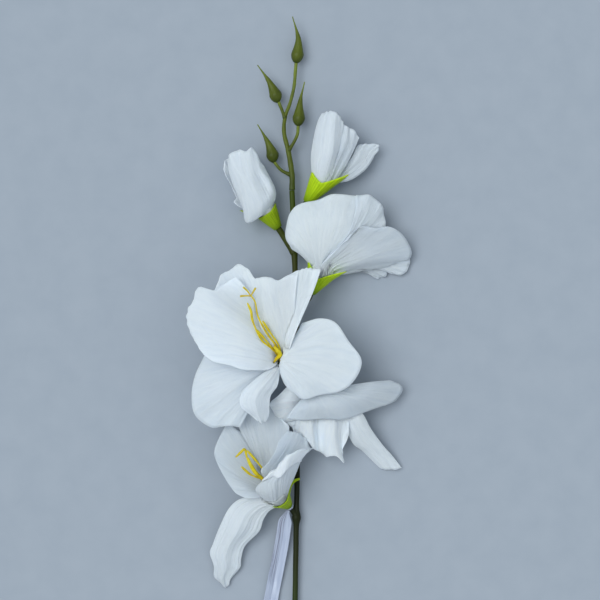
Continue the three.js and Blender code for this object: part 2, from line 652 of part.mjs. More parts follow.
function stamensSolid(stamens, frame) {
  const footBase = CORE_TOP + CLEARANCE;
  const footTop = footBase + STAMEN_FOOT_LENGTH;
  const foot = turned(
    frame,
    [
      [0, footBase],
      [STAMEN_FOOT_RADIUS, footBase],
      [STAMEN_FOOT_RADIUS, footTop - STAMEN_FOOT_RADIUS],
      [0, footTop],
    ],
    STAMEN_FOOT_SIDES,
  );
  const start = frame.at(footTop - STAMEN_ROOT_DEPTH, 0, 0).toArray();
  const filaments = stamens.filaments.map((route) =>
    solidFrom(tubeGeometry([start, ...route], () => FILAMENT_RADIUS, FILAMENT_SIDES, FILAMENT_STEPS)),
  );
  const stigmas = stamens.stigmas.map((route) =>
    solidFrom(tubeGeometry(route, (t) => FILAMENT_RADIUS * (1 - t / 2), FILAMENT_SIDES, STIGMA_STEPS)),
  );
  return joined([foot, ...filaments, ...stigmas]);
}

// Label: a folded strip that hangs from a loop round the lowest stalk

function labelSolid(frame) {
  const [from, to] = LABEL_LOOP;
  const inner = STALK_RADIUS + CLEARANCE;
  const outer = inner + LABEL_THICKNESS;
  const section = [[inner, from], [outer, from], [outer, to], [inner, to], [inner, from]];
  const loop = turned(frame, section, LABEL_LOOP_SIDES);
  const curve = new THREE.CatmullRomCurve3(LABEL_ROUTE.map(vector));
  const up = new THREE.Vector3(0, 0, 1);
  const strip = sheetGeometry(
    (u, v) => {
      const along = curve.getTangentAt(u);
      const side = along.clone().cross(up).normalize();
      const half = THREE.MathUtils.lerp(LABEL_NECK, LABEL_WIDTH, smooth(u, 0, LABEL_NECK_END)) / 2;
      const point = curve.getPointAt(u).addScaledVector(side, v * half);
      point.z += LABEL_FOLD * Math.abs(v) * smooth(u, 0, LABEL_FOLD_END);
      return point;
    },
    LABEL_GRID,
    LABEL_THICKNESS,
  );
  return loop.add(solidFrom(strip));
}

// Stem, stalks and wire

function stalkSolid(bloom, frame) {
  const start = vector(bloom.stalk);
  const seat = frame.at(-CLEARANCE, 0, 0);
  const lead = frame.at(-STALK_LEAD, 0, 0);
  const bend = start.clone().lerp(lead, STALK_BEND);
  const neck = tubeGeometry(
    [start, bend, lead, seat].map((point) => point.toArray()),
    () => STALK_RADIUS,
    STALK_SIDES,
    STALK_STEPS,
  );
  const peg = tubeGeometry(
    [lead.toArray(), frame.at(PEG_LENGTH, 0, 0).toArray()],
    () => PEG_RADIUS,
    STALK_SIDES,
    1,
  );
  return solidFrom(neck).add(solidFrom(peg));
}

function stemSolid(frames) {
  const tube = solidFrom(tubeGeometry(STEM_ROUTE, () => STEM_RADIUS, STEM_SIDES, STEM_STEPS));
  const knuckle = new THREE.SphereGeometry(KNUCKLE_RADIUS, 8, 6);
  knuckle.scale(1, KNUCKLE_LENGTH / 2 / KNUCKLE_RADIUS, KNUCKLE_FLATNESS);
  knuckle.translate(...KNUCKLE_AT);
  const stalks = Object.entries(BLOOMS).map(([key, bloom]) => stalkSolid(bloom, frames[key]));
  const whole = joined([tube, solidFrom(knuckle), ...stalks]);
  const below = new THREE.BoxGeometry(...GROUND);
  below.translate(0, -GROUND[1] / 2, -GROUND[2] / 2);
  const [x, y, z] = STEM_ROUTE[0];
  const bore = tubeGeometry(
    [[x, y - 1, z], [x, y + WIRE_LENGTH, z + BORE_RISE]],
    () => BORE_RADIUS,
    BORE_SIDES,
    1,
  );
  const [topX, topY, topZ] = STEM_ROUTE.at(-1);
  const [aside, up] = SOCKET_LEAN;
  const socket = tubeGeometry(
    [[topX, topY + 1, topZ], [topX + aside, topY - PLUG_DEPTH, topZ + up]],
    () => PLUG_RADIUS + CLEARANCE,
    PLUG_SIDES,
    1,
  );
  return whole.subtract(solidFrom(below)).subtract(solidFrom(bore)).subtract(solidFrom(socket));
}

function wireSolid() {
  const [x, y, z] = STEM_ROUTE[0];
  return solidFrom(
    tubeGeometry(
      [[x, y, z], [x, y + WIRE_LENGTH - 1, z + WIRE_RISE]],
      () => WIRE_RADIUS,
      WIRE_SIDES,
      1,
    ),
  );
}

// Bud spray

function budRadius(t) {
  if (t < BUD_WIDEST_AT) {
    const swell = Math.sqrt(Math.max(1 - (1 - t / BUD_WIDEST_AT) ** 2, 0));
    return Math.max(BUD_WIDEST * swell, BUD_FOOT);
  }
  const left = (1 - t) / (1 - BUD_WIDEST_AT);
  return BUD_TIP + (BUD_WIDEST - BUD_TIP) * left ** BUD_TAPER;
}

function spraySolid() {
  const main = tubeGeometry(
    SPRAY_ROUTE,
    (t) => THREE.MathUtils.lerp(SPRAY_FOOT_RADIUS, SPRAY_TIP_RADIUS, smooth(t, 0, SPRAY_TAPER)),
    BUD_SIDES,
    SPRAY_STEPS,
  );
  const [x, y, z] = SPRAY_ROUTE[0];
  const [aside, up] = PLUG_LEAN;
  const plug = tubeGeometry(
    [[x, y + PLUG_OVERLAP, z], [x + aside, y - PLUG_LENGTH, z + up]],
    () => PLUG_RADIUS,
    PLUG_SIDES,
    1,
  );
  const parts = [solidFrom(main), solidFrom(plug)];
  for (const bud of BUDS) {
    if (bud.stalk.length)
      parts.push(
        solidFrom(tubeGeometry(bud.stalk, () => BUD_STALK_RADIUS, BUD_STALK_SIDES, BUD_STALK_STEPS)),
      );
    parts.push(solidFrom(tubeGeometry(bud.axis, budRadius, BUD_SIDES, BUD_STEPS)));
  }
  return joined(parts);
}

// Scene graph

const gladiolus = new THREE.Group();
const frames = Object.fromEntries(Object.entries(BLOOMS).map(([key, bloom]) => [key, bloomFrame(bloom)]));

gladiolus.add(meshOf("stem", stemSolid(frames), STEM_GREEN, 0.5));
gladiolus.add(meshOf("stem_wire", wireSolid(), STEEL_GREY, 0.35, 0.9));
gladiolus.add(meshOf("bud_spray", spraySolid(), SPRAY_GREEN, 0.45));
for (const [key, bloom] of Object.entries(BLOOMS)) {
  gladiolus.add(meshOf(`petals_${key}`, petalsSolid(bloom, frames[key]), PETAL_WHITE, 0.8));
  gladiolus.add(meshOf(`calyx_${key}`, calyxSolid(bloom, frames[key]), CALYX_GREEN, 0.5));
}
for (const [key, stamens] of Object.entries(STAMENS))
  gladiolus.add(meshOf(`stamens_${key}`, stamensSolid(stamens, frames[key]), STAMEN_YELLOW, 0.5));
gladiolus.add(meshOf("label", labelSolid(frames.f), LABEL_WHITE, 0.4));

export default gladiolus;
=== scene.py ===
import math
from collections import namedtuple

import bpy
import numpy as np
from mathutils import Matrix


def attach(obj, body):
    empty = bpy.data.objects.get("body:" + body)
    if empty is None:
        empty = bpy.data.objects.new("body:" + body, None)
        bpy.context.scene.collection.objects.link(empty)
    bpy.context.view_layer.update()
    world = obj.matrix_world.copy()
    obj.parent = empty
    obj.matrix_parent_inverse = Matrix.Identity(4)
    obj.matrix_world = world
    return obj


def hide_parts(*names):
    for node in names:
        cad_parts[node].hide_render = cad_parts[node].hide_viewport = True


MM = 0.001
TINY = 1e-12
RIPPLE_GAIN = 1.4
ROUTE_FINENESS = 40
UP = (0, 0, 1)
WHITE, BLACK = (1, 1, 1), (0, 0, 0)

# Camera: straight above, far off, on the middle of the photograph
VIEW_CENTRE = np.array((0.65, 76.05))
VIEW_HEIGHT = 1400
VIEW_WIDTH = 390
PHOTO_SIDE = 600
SENSOR = 36
CLIP_END = 10

# Floor and light
FLOOR_HALF = 4
FLOOR_COLOURS = [(0.3, (0.333, 0.37, 0.417)), (0.7, (0.351, 0.387, 0.433))]
SKY_COLOURS = [(0, (0.265, 0.302, 0.339)), (1, (0.734, 0.811, 0.88))]
SUN_STRENGTH = 1.59
SUN_WIDTH = 36
SUN_COLOUR = (0.924, 0.972, 1.0)
SUN_PLACE = (-0.55, 0.2, 1.3)

# Stem: the moulding's surface lies a skin's depth inside the part's, under its seam and its unevenness, which
# is waves with their size and their turns along and round the stem. A stalk's foot is its swell and its
# share of the length.
STEM_RADIUS = 1.8
SKIN = 0.05
STEM_LOW = 1.5
STEM_ROUTE = [
    (-3.9, -260, STEM_LOW), (-3.6, -235, STEM_LOW), (-2.5, -118.3, 4.2), (-1.7, -66.3, 6), (-1.2, -33.9, 7),
    (-1.3, 11.4, 8.6), (-1.6, 56.7, 9.8), (-2.6, 96.7, 10.2), (-3.9, 130.9, 10), (-4.5, 146.8, 9.5),
]
SEAM_TURNS = (0.3, 3.4)
SEAM_SIZE = 0.07
STEM_UNEVEN = [(0.04, 60, 2), (0.03, 137, 1)]
KNUCKLE_Y = -64.8
KNUCKLE_LENGTH = 6
KNUCKLE_SWELL = 0.9
NODE_SWELL = 0.35
NODE_REACH = 5
STALK_RADIUS = 2.1
STALK_FOOT = (0.35, 0.25)
STALK_LEAD = -4
SEAT_GAP = 0.3

# Cut end: the bore's dark ring as radius and depth, and the wire
BORE_RADIUS = 0.95
BORE_DEPTH = 38
BORE_RING = [(1.25, -0.02), (1.25, -0.12), (BORE_RADIUS, -0.14), (BORE_RADIUS, -0.02)]
WIRE_RADIUS = 0.6
WIRE_BEVEL = 0.15
WIRE_OUT = 0.4
WIRE_RISE = 0.19

# Bud spray: each bud has its stalk's route, unless it ends the spray, and its own
SPRAY_RADII = (1.85, 1.1)
SPRAY_SLIM_AT = 0.75
SPRAY_RING = 0.18
SPRAY_RING_REACH = 0.012
SPRAY_WAVES = 70
SPRAY_ROUTE = [
    (-4.5, 147.1, 9.5), (-4.5, 156.1, 9.4), (-6.8, 171.6, 9), (-9.7, 184.6, 8.6), (-9, 194.3, 8.4),
    (-5.8, 203.3, 8.2), (-3.2, 214.4, 8), (-2.4, 223.4, 7.8), (-1.9, 229.6, 7.6),
]
BUD_STALK_RADIUS = 1.05
BUD_STALK_FOOT = (0.5, 0.3)
BUD_WIDEST = 4
BUD_WIDEST_AT = 0.2
BUD_FOOT_RADIUS = 0.9
BUD_TIP_RADIUS = 0.35
BUD_TAPER = 2.1
BUD_WRAP = 0.18
BUD_WIND = 5
BUD_RIDGE = 0.03
BUD_RIDGES = 9
BUDS = [
    ([], [(-1.9, 229, 7.6), (-1, 235.7, 7.8), (-0.6, 245.3, 8.4), (-4.2, 259.1, 9)]),
    ([(-9, 193.6, 8.4), (-11.3, 199.4, 8.6), (-13.4, 204.6, 8.8)],
     [(-13.4, 203.6, 8.8), (-16.1, 210.4, 9), (-20, 218.1, 9.5), (-26.8, 227.7, 10)]),
    ([(-6.9, 172.3, 9), (-3.2, 178.1, 9.4), (-1, 183.2, 9.6), (-0.5, 189, 9.6)],
     [(-0.5, 188.2, 9.6), (-0.2, 194.2, 9.8), (0.7, 203.8, 10.2), (3.6, 216.7, 10.8)]),
    ([(-5.5, 156.8, 9.4), (-11.6, 160, 9), (-16.3, 165.6, 8.8)],
     [(-16.1, 164.8, 8.8), (-17.8, 171.6, 9), (-21.3, 180, 9.5), (-26.8, 189.4, 10)]),
]

# Calyx
CALYX_FOOT_RADIUS = 2.2
CALYX_SLOPE = 0.45
CALYX_WALL = 0.7
CALYX_HOLE = 1.85
CALYX_HOLE_DEPTH = 2
CALYX_FLOOR = 0.5
CALYX_FLARE = 2
# Painted shade on a calyx's colour, where its bloom gives none of its own
CALYX_PAINTED_SHADING = 0.9
CALYX_RIB = 0.12
CALYX_RIBS = 12
CALYX_SIDES = 96
CALYX_RINGS = 12
LOBE_HALF_WIDTH = 60
LOBE_SHARPNESS = 1.3
SEPAL_RADII = (1.9, 0.7)
SEPAL_FLATNESS = 0.35

# Petals
CLOTH = 0.35
FLOOR_GAP = 0.35
PETAL_INSET = 0.95
LAYER_STEP = 1
PETAL_ROOT = 7
PETAL_ROWS = 46
PETAL_COLUMNS = 72
OPENING = 12
OPENING_LEAD = 3
THROAT_WRAP = 52
NEARLY_STRAIGHT = 1e-4
RIB_SAMPLES = 60
RIB_LEAVE = 0.4
RIB_ARRIVE = 0.35
TWIST_START = 0.2
WAVE_START = 0.3
SEEN_COLUMNS = 241
SEEN_ROWS = 221
SEEN_REACH = (0.3, 1.4)
SEEN_EDGE = 0.9
FRAY = 0.004
NET_ROOT_TOP = 2
NET_FOLDS = 0.9
NET_SEED = 65
CREASES = 9
FOLD_HEIGHT = 0.75
RUFFLE_HEIGHT = 0.8
ROLL_HEIGHT = 0.7
LOPSIDED_RIM = (0.75, 0.93, 1, 0.97, 1, 0.95, 0.8)
POINTED_RIM = (0.75, 0.93, 1, 0.97, 1, 0.93, 0.75)
ROUND_RIM = (0.8, 0.93, 1, 0.97, 1, 0.93, 0.8)

# Stamens: the bunch's foot as radius and height in the bloom, and the height where its filaments start
STAMEN_FOOT = [(0, 9.3), (1.9, 9.3), (1.9, 12.3), (1.52, 14.3), (0.76, 16.3), (0, 16.3)]
STAMEN_START = 13.3
FILAMENT_RADII = (0.69, 0.48)
ANTHER_SWELL = 0.3
ANTHER_FOOT = (0.72, 0.8)
ANTHER_TIP = (0.94, 1)
STIGMA_RADII = (0.35, 0.65)

# Label strip
LABEL_WIDTH = 9
LABEL_NECK = 2.2
LABEL_FOLD = 2.2
LABEL_FILM = 0.3
LABEL_CRUMPLE = 0.25
LABEL_SEED = 7
LABEL_WIDE_AT = 0.15
LABEL_FOLDED_AT = 0.3
LABEL_LOW = 0.25
LABEL_LOOP = (-2.1, -0.7)
LABEL_ROUTE = [
    (-7.1, -59.8, 10.2), (-8.1, -63, 8), (-9.4, -69.4, 5.6), (-10.8, -79.3, 4), (-13.2, -92.6, 2.2),
    (-15.8, -105.7, 1.1), (-19, -122.7, 0.5),
]

# Colours along the pieces, from root to tip. The stem's run up the whole flower, at a rate to the metre and
# from a start.
STEM_COLOUR_RUN = (2.4, 0.63)
PETAL_COLOURS = [(0, (0.76, 0.81, 0.72)), (0.22, (0.83, 0.88, 0.91)), (0.45, (0.84, 0.905, 0.965)),
                 (0.8, (0.82, 0.89, 0.965)), (1, (0.84, 0.915, 0.985))]
CALYX_COLOURS = [(0, (0.27, 0.42, 0.008)), (0.2, (0.5, 0.7, 0.01)), (0.8, (0.58, 0.78, 0.012)),
                 (1, (0.64, 0.78, 0.05))]
STAMEN_COLOURS = [(0, (0.16, 0.14, 0.01)), (0.08, (0.48, 0.34, 0.008)), (0.2, (0.68, 0.5, 0.008)),
                  (0.4, (0.74, 0.6, 0.01)), (1, (0.72, 0.6, 0.03))]
STEM_COLOURS = [(0, (0.03, 0.046, 0.01)), (0.36, (0.028, 0.04, 0.009)), (0.41, (0.02, 0.024, 0.006)),
                (0.5, (0.01, 0.013, 0.0035)), (0.62, (0.01, 0.014, 0.0035)), (0.84, (0.038, 0.044, 0.008)),
                (0.97, (0.048, 0.072, 0.007))]
STEM_BROWN = (0.04, 0.034, 0.008)
SPRAY_COLOURS = [(0, (0.06, 0.085, 0.01)), (0.12, (0.09, 0.115, 0.012)), (0.5, (0.12, 0.15, 0.014)),
                 (1, (0.24, 0.3, 0.04))]
FILM_COLOURS = [(0.3, (0.42, 0.47, 0.60)), (0.7, (0.58, 0.63, 0.75))]
FILM_DARK = (0.5, 0.47, 0.5)
THREADS = 900
STEEL_COLOURS = [(0.3, (0.35, 0.35, 0.36)), (0.7, (0.55, 0.56, 0.57))]

# A bloom: its calyx's foot and axis, the petals' mouth along it, and the start of its stalk. The calyx has
# the height of its notches and its lobes as azimuth and height, and F's has a long sepal. Its colour is
# darkened by painted shade, bloom by bloom. The open blooms have stamens: filaments that rise from the
# bunch's foot, a style's forked stigmas, and thick roots with their radii.
Bloom = namedtuple("Bloom", "base axis mouth stalk notch lobes petals nets slope flare wrap pinch calyx_tone"
                   " sepal filaments stigmas roots",
                   defaults=(CALYX_SLOPE, CALYX_FLARE, THROAT_WRAP, 0, CALYX_PAINTED_SHADING, (), (), (), ()))

# A petal: its root's azimuth and layer, its rib's tip and the way the rib runs there, the fan's half angle on
# either side, the rim's reach from edge to edge, its cupping, and its waves as height, count and phase. face
# is the way its inner side looks at the tip, seen the part of the rim that the photograph shows, in its
# pixels, and curl the roll of the outer end and where it starts. The last field is painted light and shade: a
# factor on the cloth's colour, painted shade below 1 and painted light above 1.
Petal = namedtuple("Petal", "root layer tip end fan rim cup wave face seen curl tone",
                   defaults=((), (), (0, 0.8), 1.0))
Net = namedtuple("Net", "root spread rows tone folds")
Rib = namedtuple("Rib", "points side inward length")


# A petal that folds back on itself, drawn as a net: rows of points from the throat to the rim, each in the
# photograph's pixels with its height in millimetres. It roots in the throat at an azimuth and over a half
# angle. Its painted light and shade, a factor on the cloth's colour, is even or row by row.
def net(root, spread, *rows, tone=1.0, folds=NET_FOLDS):
    return Net(root, spread, rows, tone, folds)


# In the nets below, the factors on the cloth's colour after the rows are painted light and shade
NETS_A = [net(
    90, 80,
    [(258, 212, 17), (260, 211, 19), (263, 210, 20), (266, 209, 20.5), (269, 207, 20), (271.5, 205, 18),
     (273, 203, 16)],
    [(245.5, 215, 15), (247, 223.5, 18), (256, 219.5, 21), (264, 212.5, 22), (270, 205.5, 21.5),
     (274.5, 199, 19), (275.5, 194, 15)],
    [(242, 205, 18), (247, 209, 24), (256, 206, 27), (264, 201, 27.5), (269, 196, 26), (273, 191, 23),
     (275, 187.5, 18)],
    [(234, 186, 18), (240, 184, 24), (247, 182, 28.5), (255, 181, 27.5), (262, 182, 23.5), (267.5, 180, 24),
     (271.5, 179.5, 19)],
    [(229, 170, 18), (234, 168, 23), (241, 167, 25), (248, 166, 27.5), (255, 167, 25.5), (260.5, 168, 23.5),
     (265.7, 168.5, 18)],
    [(228, 161, 17), (231.5, 154, 20), (239, 149.5, 21), (246, 151.5, 23.5), (252, 147.5, 21.5),
     (259, 156.5, 20.5), (263, 163, 17)],
    tone=0.92,
)]

NETS_B = [net(
    130, 60,
    [(312, 178, 17), (314, 181, 19), (317, 183, 20.5), (321, 184, 21), (325, 184, 21), (328, 183, 20)],
    [(310.7, 160, 18), (315, 161, 24), (321, 162, 28), (327, 162, 29), (332, 162, 28), (335, 162, 25)],
    [(312, 146, 18), (317, 146, 24.5), (324, 146, 29), (331, 146, 30), (336, 146, 28.5), (340, 144, 25)],
    [(316, 127, 17.5), (320, 127, 22), (326, 126, 26), (333, 126, 27.5), (338.5, 128, 25.5),
     (342.5, 130, 23)],
    [(321, 113.5, 16.5), (325, 111.3, 20), (329, 111.2, 22), (334, 112.6, 23), (339, 116.5, 22),
     (343, 122, 20.5)],
    tone=0.97,
), net(
    60, 25,
    [(325, 184, 22), (327, 184.5, 21.5), (329, 185.5, 20.5), (331, 187, 19)],
    [(334, 160, 24), (338, 161, 24), (342, 163, 22.5), (346, 165, 20.5)],
    [(338, 141, 24), (346, 142, 24), (351, 144, 22), (355, 147, 19.5)],
    [(339, 122, 20), (347, 126.5, 20.5), (353, 129.5, 19), (358.5, 138, 17)],
    tone=(0.74, 0.74, 0.8, 0.95),
), net(
    350, 25,
    [(327, 182, 16), (328, 183, 15.5), (329, 184, 15), (329, 185, 14.5)],
    [(343, 169, 17), (346, 172, 16), (349, 176, 14.5), (350, 180, 13)],
    [(352, 157, 17), (358, 160, 15.5), (363, 165, 13.5), (365, 169.5, 11.5)],
    [(356, 148, 15), (364, 148, 13.5), (371, 152, 12), (372.5, 159, 10)],
    [(359, 144.5, 13), (367, 143.8, 12), (379, 145, 11), (375, 153, 9)],
    tone=0.88,
)]

NETS_C = [net(
    120, 60,
    [(311, 266, 20), (312, 264, 22), (313.5, 262, 24), (315.5, 261, 25.5), (318, 260.5, 26), (320.5, 261, 26),
     (323, 262, 25), (326, 264, 22.5)],
    [(301, 256, 24), (298, 249, 28), (300, 240, 30), (306, 232, 31.5), (316, 229, 33), (326, 229, 33.5),
     (338, 232, 32.5), (349, 238, 29)],
    [(292, 250, 21), (288.5, 241, 26), (291.5, 229, 29), (300, 217, 31), (315.5, 213, 32.5), (329, 211, 33),
     (343, 212, 32), (360, 214.5, 28.5)],
    [(289.5, 247.5, 19), (284.5, 236, 23), (287, 221, 26), (296, 206.5, 28), (315.5, 201, 28),
     (332, 195.5, 27.5), (346, 195.5, 27), (360, 196, 25)],
    tone=(1.03, 1.02, 0.95),
), net(
    60, 30,
    [(323, 262.5, 26), (325, 263, 25.5), (327.5, 264, 24.5), (330, 265, 24), (332, 266.5, 22.5),
     (333.5, 268, 20.5), (335, 270, 18)],
    [(346, 236, 30.8), (349, 235, 30), (352, 234.5, 29), (355, 235, 27.5), (358, 237, 25.5),
     (360.5, 239, 23.5), (362, 242, 21.5)],
    [(355, 213, 30), (359, 213, 30), (364, 214, 28.5), (369, 217, 26.5), (373, 222, 24.5), (375, 227, 22.5),
     (375, 231, 20.5)],
    [(355.8, 195.7, 27), (362, 195.2, 26), (370, 195.3, 24.5), (378, 200.5, 22.5), (384, 208, 20.5),
     (385.5, 217, 18.5), (384.5, 227, 17)],
    tone=0.92,
), net(
    20, 80,
    [(322.5, 263, 26.3), (325, 263.5, 26), (327.5, 264, 25.3), (330, 265, 24.6), (332, 266, 23.5),
     (334, 267, 22.5), (335.5, 268, 21), (336.5, 269, 20), (337, 270, 19), (337, 271, 18), (337, 272, 17),
     (336.5, 273, 16), (336, 274, 15), (335, 274.5, 14)],
    [(334.5, 250.5, 30), (340, 247.5, 30.3), (347, 246.5, 29.6), (353, 246.5, 28.5), (360, 248, 26.5),
     (366, 251, 24), (371, 255, 21.5), (373, 259, 19), (371, 262, 17.5), (366, 265, 16), (359, 267, 14.5),
     (352, 268.5, 13), (346, 270.5, 13), (341, 272, 13)],
    [(345.5, 239, 31.8), (354, 230.5, 30.5), (364, 226, 28), (377, 228.5, 25), (388, 226.5, 21),
     (399, 231.5, 16.5), (407, 241, 12), (411.3, 252, 8.5), (408, 260, 7), (398, 263, 8), (386, 267, 7.5),
     (370, 269.5, 8), (356, 269.8, 9), (346, 272, 11)],
    tone=(0.95, 0.86, 0.74),
), net(
    310, 15,
    [(337, 272, 13), (337, 273, 12.5), (337, 274, 12), (336, 275, 11.5), (336, 275.5, 11)],
    [(372, 258, 10), (373, 262, 9.5), (373, 265, 9), (371, 268, 8.5), (368, 270, 8)],
    [(409, 254, 6), (410, 265, 5), (404, 273.5, 3.5), (394, 272.5, 3.5), (385, 268, 4.5)],
    tone=0.86,
), net(
    270, 15,
    [(335, 274, 9), (335, 274.5, 8.7), (334.5, 275, 8.5), (334, 275.5, 8)],
    [(364, 264, 6), (364, 268, 5.5), (362, 271, 5), (360, 272, 5)],
    [(387, 265, 3), (386, 276, 2), (379, 278.8, 1.5), (370, 274, 2)],
    tone=0.8,
)]

NETS_D = [net(
    30, 40,
    [(283, 349, 35), (283.5, 351, 35.5), (283.5, 353, 36), (283, 355, 36.5), (282.5, 357, 37),
     (282, 358.5, 37), (281.5, 360, 37), (281, 361.5, 37), (280.5, 363.5, 36.5), (280, 366, 36),
     (280, 369, 34.5)],
    [(293, 338, 38.5), (300, 335, 40), (308, 337, 41), (315, 343, 42.7), (320, 353, 42.2), (319, 364, 43.7),
     (312, 374, 41.7), (303, 380, 42.2), (296, 382, 40.3), (289, 381, 39), (281.5, 377, 37)],
    [(302, 323, 38), (320, 318.5, 40), (336, 323, 41), (348.5, 341, 42), (361.5, 360, 42), (356, 378, 41),
     (340, 391.5, 39), (318, 396, 38), (303, 399, 37), (293, 394, 36), (285.5, 384.5, 35)],
    tone=0.96,
), net(
    150, 35,
    [(274, 361, 33), (273.2, 362.5, 33.6), (273, 364, 34.2), (273.4, 365.3, 34.4), (274.3, 366.3, 34.3),
     (275.6, 367.2, 34), (277, 368, 33)],
    [(238, 352, 37), (231, 366, 39.5), (231, 378, 40.5), (236, 388, 41), (244, 394, 40.5), (252, 396, 39),
     (258, 394, 37)],
    [(206, 352, 34), (196, 374, 35.5), (192, 395, 36), (196, 416, 35.5), (212, 427.5, 35), (229, 425.5, 34.5),
     (240, 427.5, 33.5)],
    tone=(1, 0.95, 0.84),
), net(
    100, 26,
    [(273, 367, 37), (276.5, 369, 38), (280.5, 369, 34)],
    [(262, 374, 42.5), (270, 378, 44), (279, 377, 38)],
    [(249, 385, 44.5), (262, 387, 47), (277, 386, 41)],
    [(241, 395, 44), (255, 398, 47), (270.5, 395, 41)],
    [(241, 406, 42), (256, 409, 45), (269, 405, 39.5)],
    [(250, 414, 39), (260, 418, 40.5), (268.5, 415, 37)],
    [(257, 420.5, 37), (262, 423, 37.5), (266, 420, 36)],
)]

NETS_E = [net(
    110, 75,
    [(306, 395, 26), (309, 392, 28), (313, 390, 29), (318, 389, 30), (322, 389, 30), (326, 389, 30),
     (330, 390, 29.5), (333, 391, 29), (335, 390, 28), (336, 388, 27)],
    [(296, 405, 29), (307, 406, 31.5), (319, 406, 32), (332, 405, 32), (345, 402, 31), (356, 398, 29),
     (364, 394, 27), (368, 390, 26), (367, 385, 26), (363, 383, 26.5)],
    [(286, 418, 24), (303, 419, 25), (322, 419, 25.5), (341, 419.5, 25), (361, 414, 21), (379, 407.5, 15),
     (395, 401, 10), (402, 392, 9), (400, 385, 11), (390, 380, 14)],
    tone=(0.84, 0.8, 0.7),
), net(
    20, 40,
    [(307, 392, 24), (306, 395, 23), (305, 398, 22), (304, 400, 21), (304, 402, 20), (304, 405, 19),
     (305, 407, 18)],
    [(300, 390, 31), (297, 391, 31), (292, 396, 30), (288, 401, 28), (289, 406, 25), (292, 412, 22),
     (297, 416, 19)],
    [(294, 387, 30), (287, 387, 30), (279, 395, 28), (270, 403, 25), (272, 410, 23), (279, 421, 20),
     (290, 425, 17)],
    tone=(1.2, 1.2, 1.1),
), net(
    270, 60,
    [(309, 403, 15), (311, 406, 15), (313, 408, 14.5), (316, 409, 14), (319, 410, 14), (322, 410, 14),
     (325, 410, 14), (327, 410, 14.5), (329, 409, 15), (331, 408, 15), (333, 406, 15.5), (335, 404, 16)],
    [(297, 412, 17), (301, 417, 19.5), (306, 420, 21), (312, 421, 22), (318, 421.5, 17.5), (325, 421.5, 21.5),
     (331, 421.5, 22.5), (335, 421, 22), (339, 420, 19), (342, 419, 17.5), (345, 417, 18), (348, 414, 19)],
    [(292, 419, 16), (298, 425, 19), (305, 431, 21.5), (313, 434, 22), (318, 437, 16), (325, 439, 20.5),
     (331, 439.5, 22), (335.5, 439, 21.5), (339, 438, 18), (342, 436, 16.5), (345, 432, 17), (349, 427, 19)],
    [(290, 424.5, 15), (297, 433, 18), (303.5, 437.5, 20), (313, 448, 20.5), (318.5, 451.5, 14.5),
     (325, 457, 18), (331, 456, 20.5), (336.5, 456.5, 19), (343, 463, 15), (341.5, 453, 14.5),
     (345.5, 444, 16), (349.5, 433, 17.5)],
    tone=1.08,
), net(
    225, 25,
    [(333, 405, 15), (336, 404, 16), (339, 402, 17), (342, 400, 18)],
    [(341, 420, 16), (348, 417, 19), (355, 414, 20.5), (361, 412, 18.5)],
    [(347, 432, 14.5), (354, 430, 17.5), (361, 426, 19), (369.5, 426.5, 16)],
    [(353.5, 444.5, 9), (361, 442, 12.5), (368, 438, 14.5), (377, 437.5, 12)],
    [(362, 451, 3.5), (369, 450, 8), (375, 447, 10.5), (384.5, 447, 9)],
    [(372, 461, 1.5), (378, 459, 5), (384, 457, 7), (393, 456.5, 6)],
    [(380.5, 469, 1.2), (387.5, 469.6, 2.6), (394, 469.6, 3.4), (401.8, 468, 3)],
    tone=0.97, folds=0.3,
)]

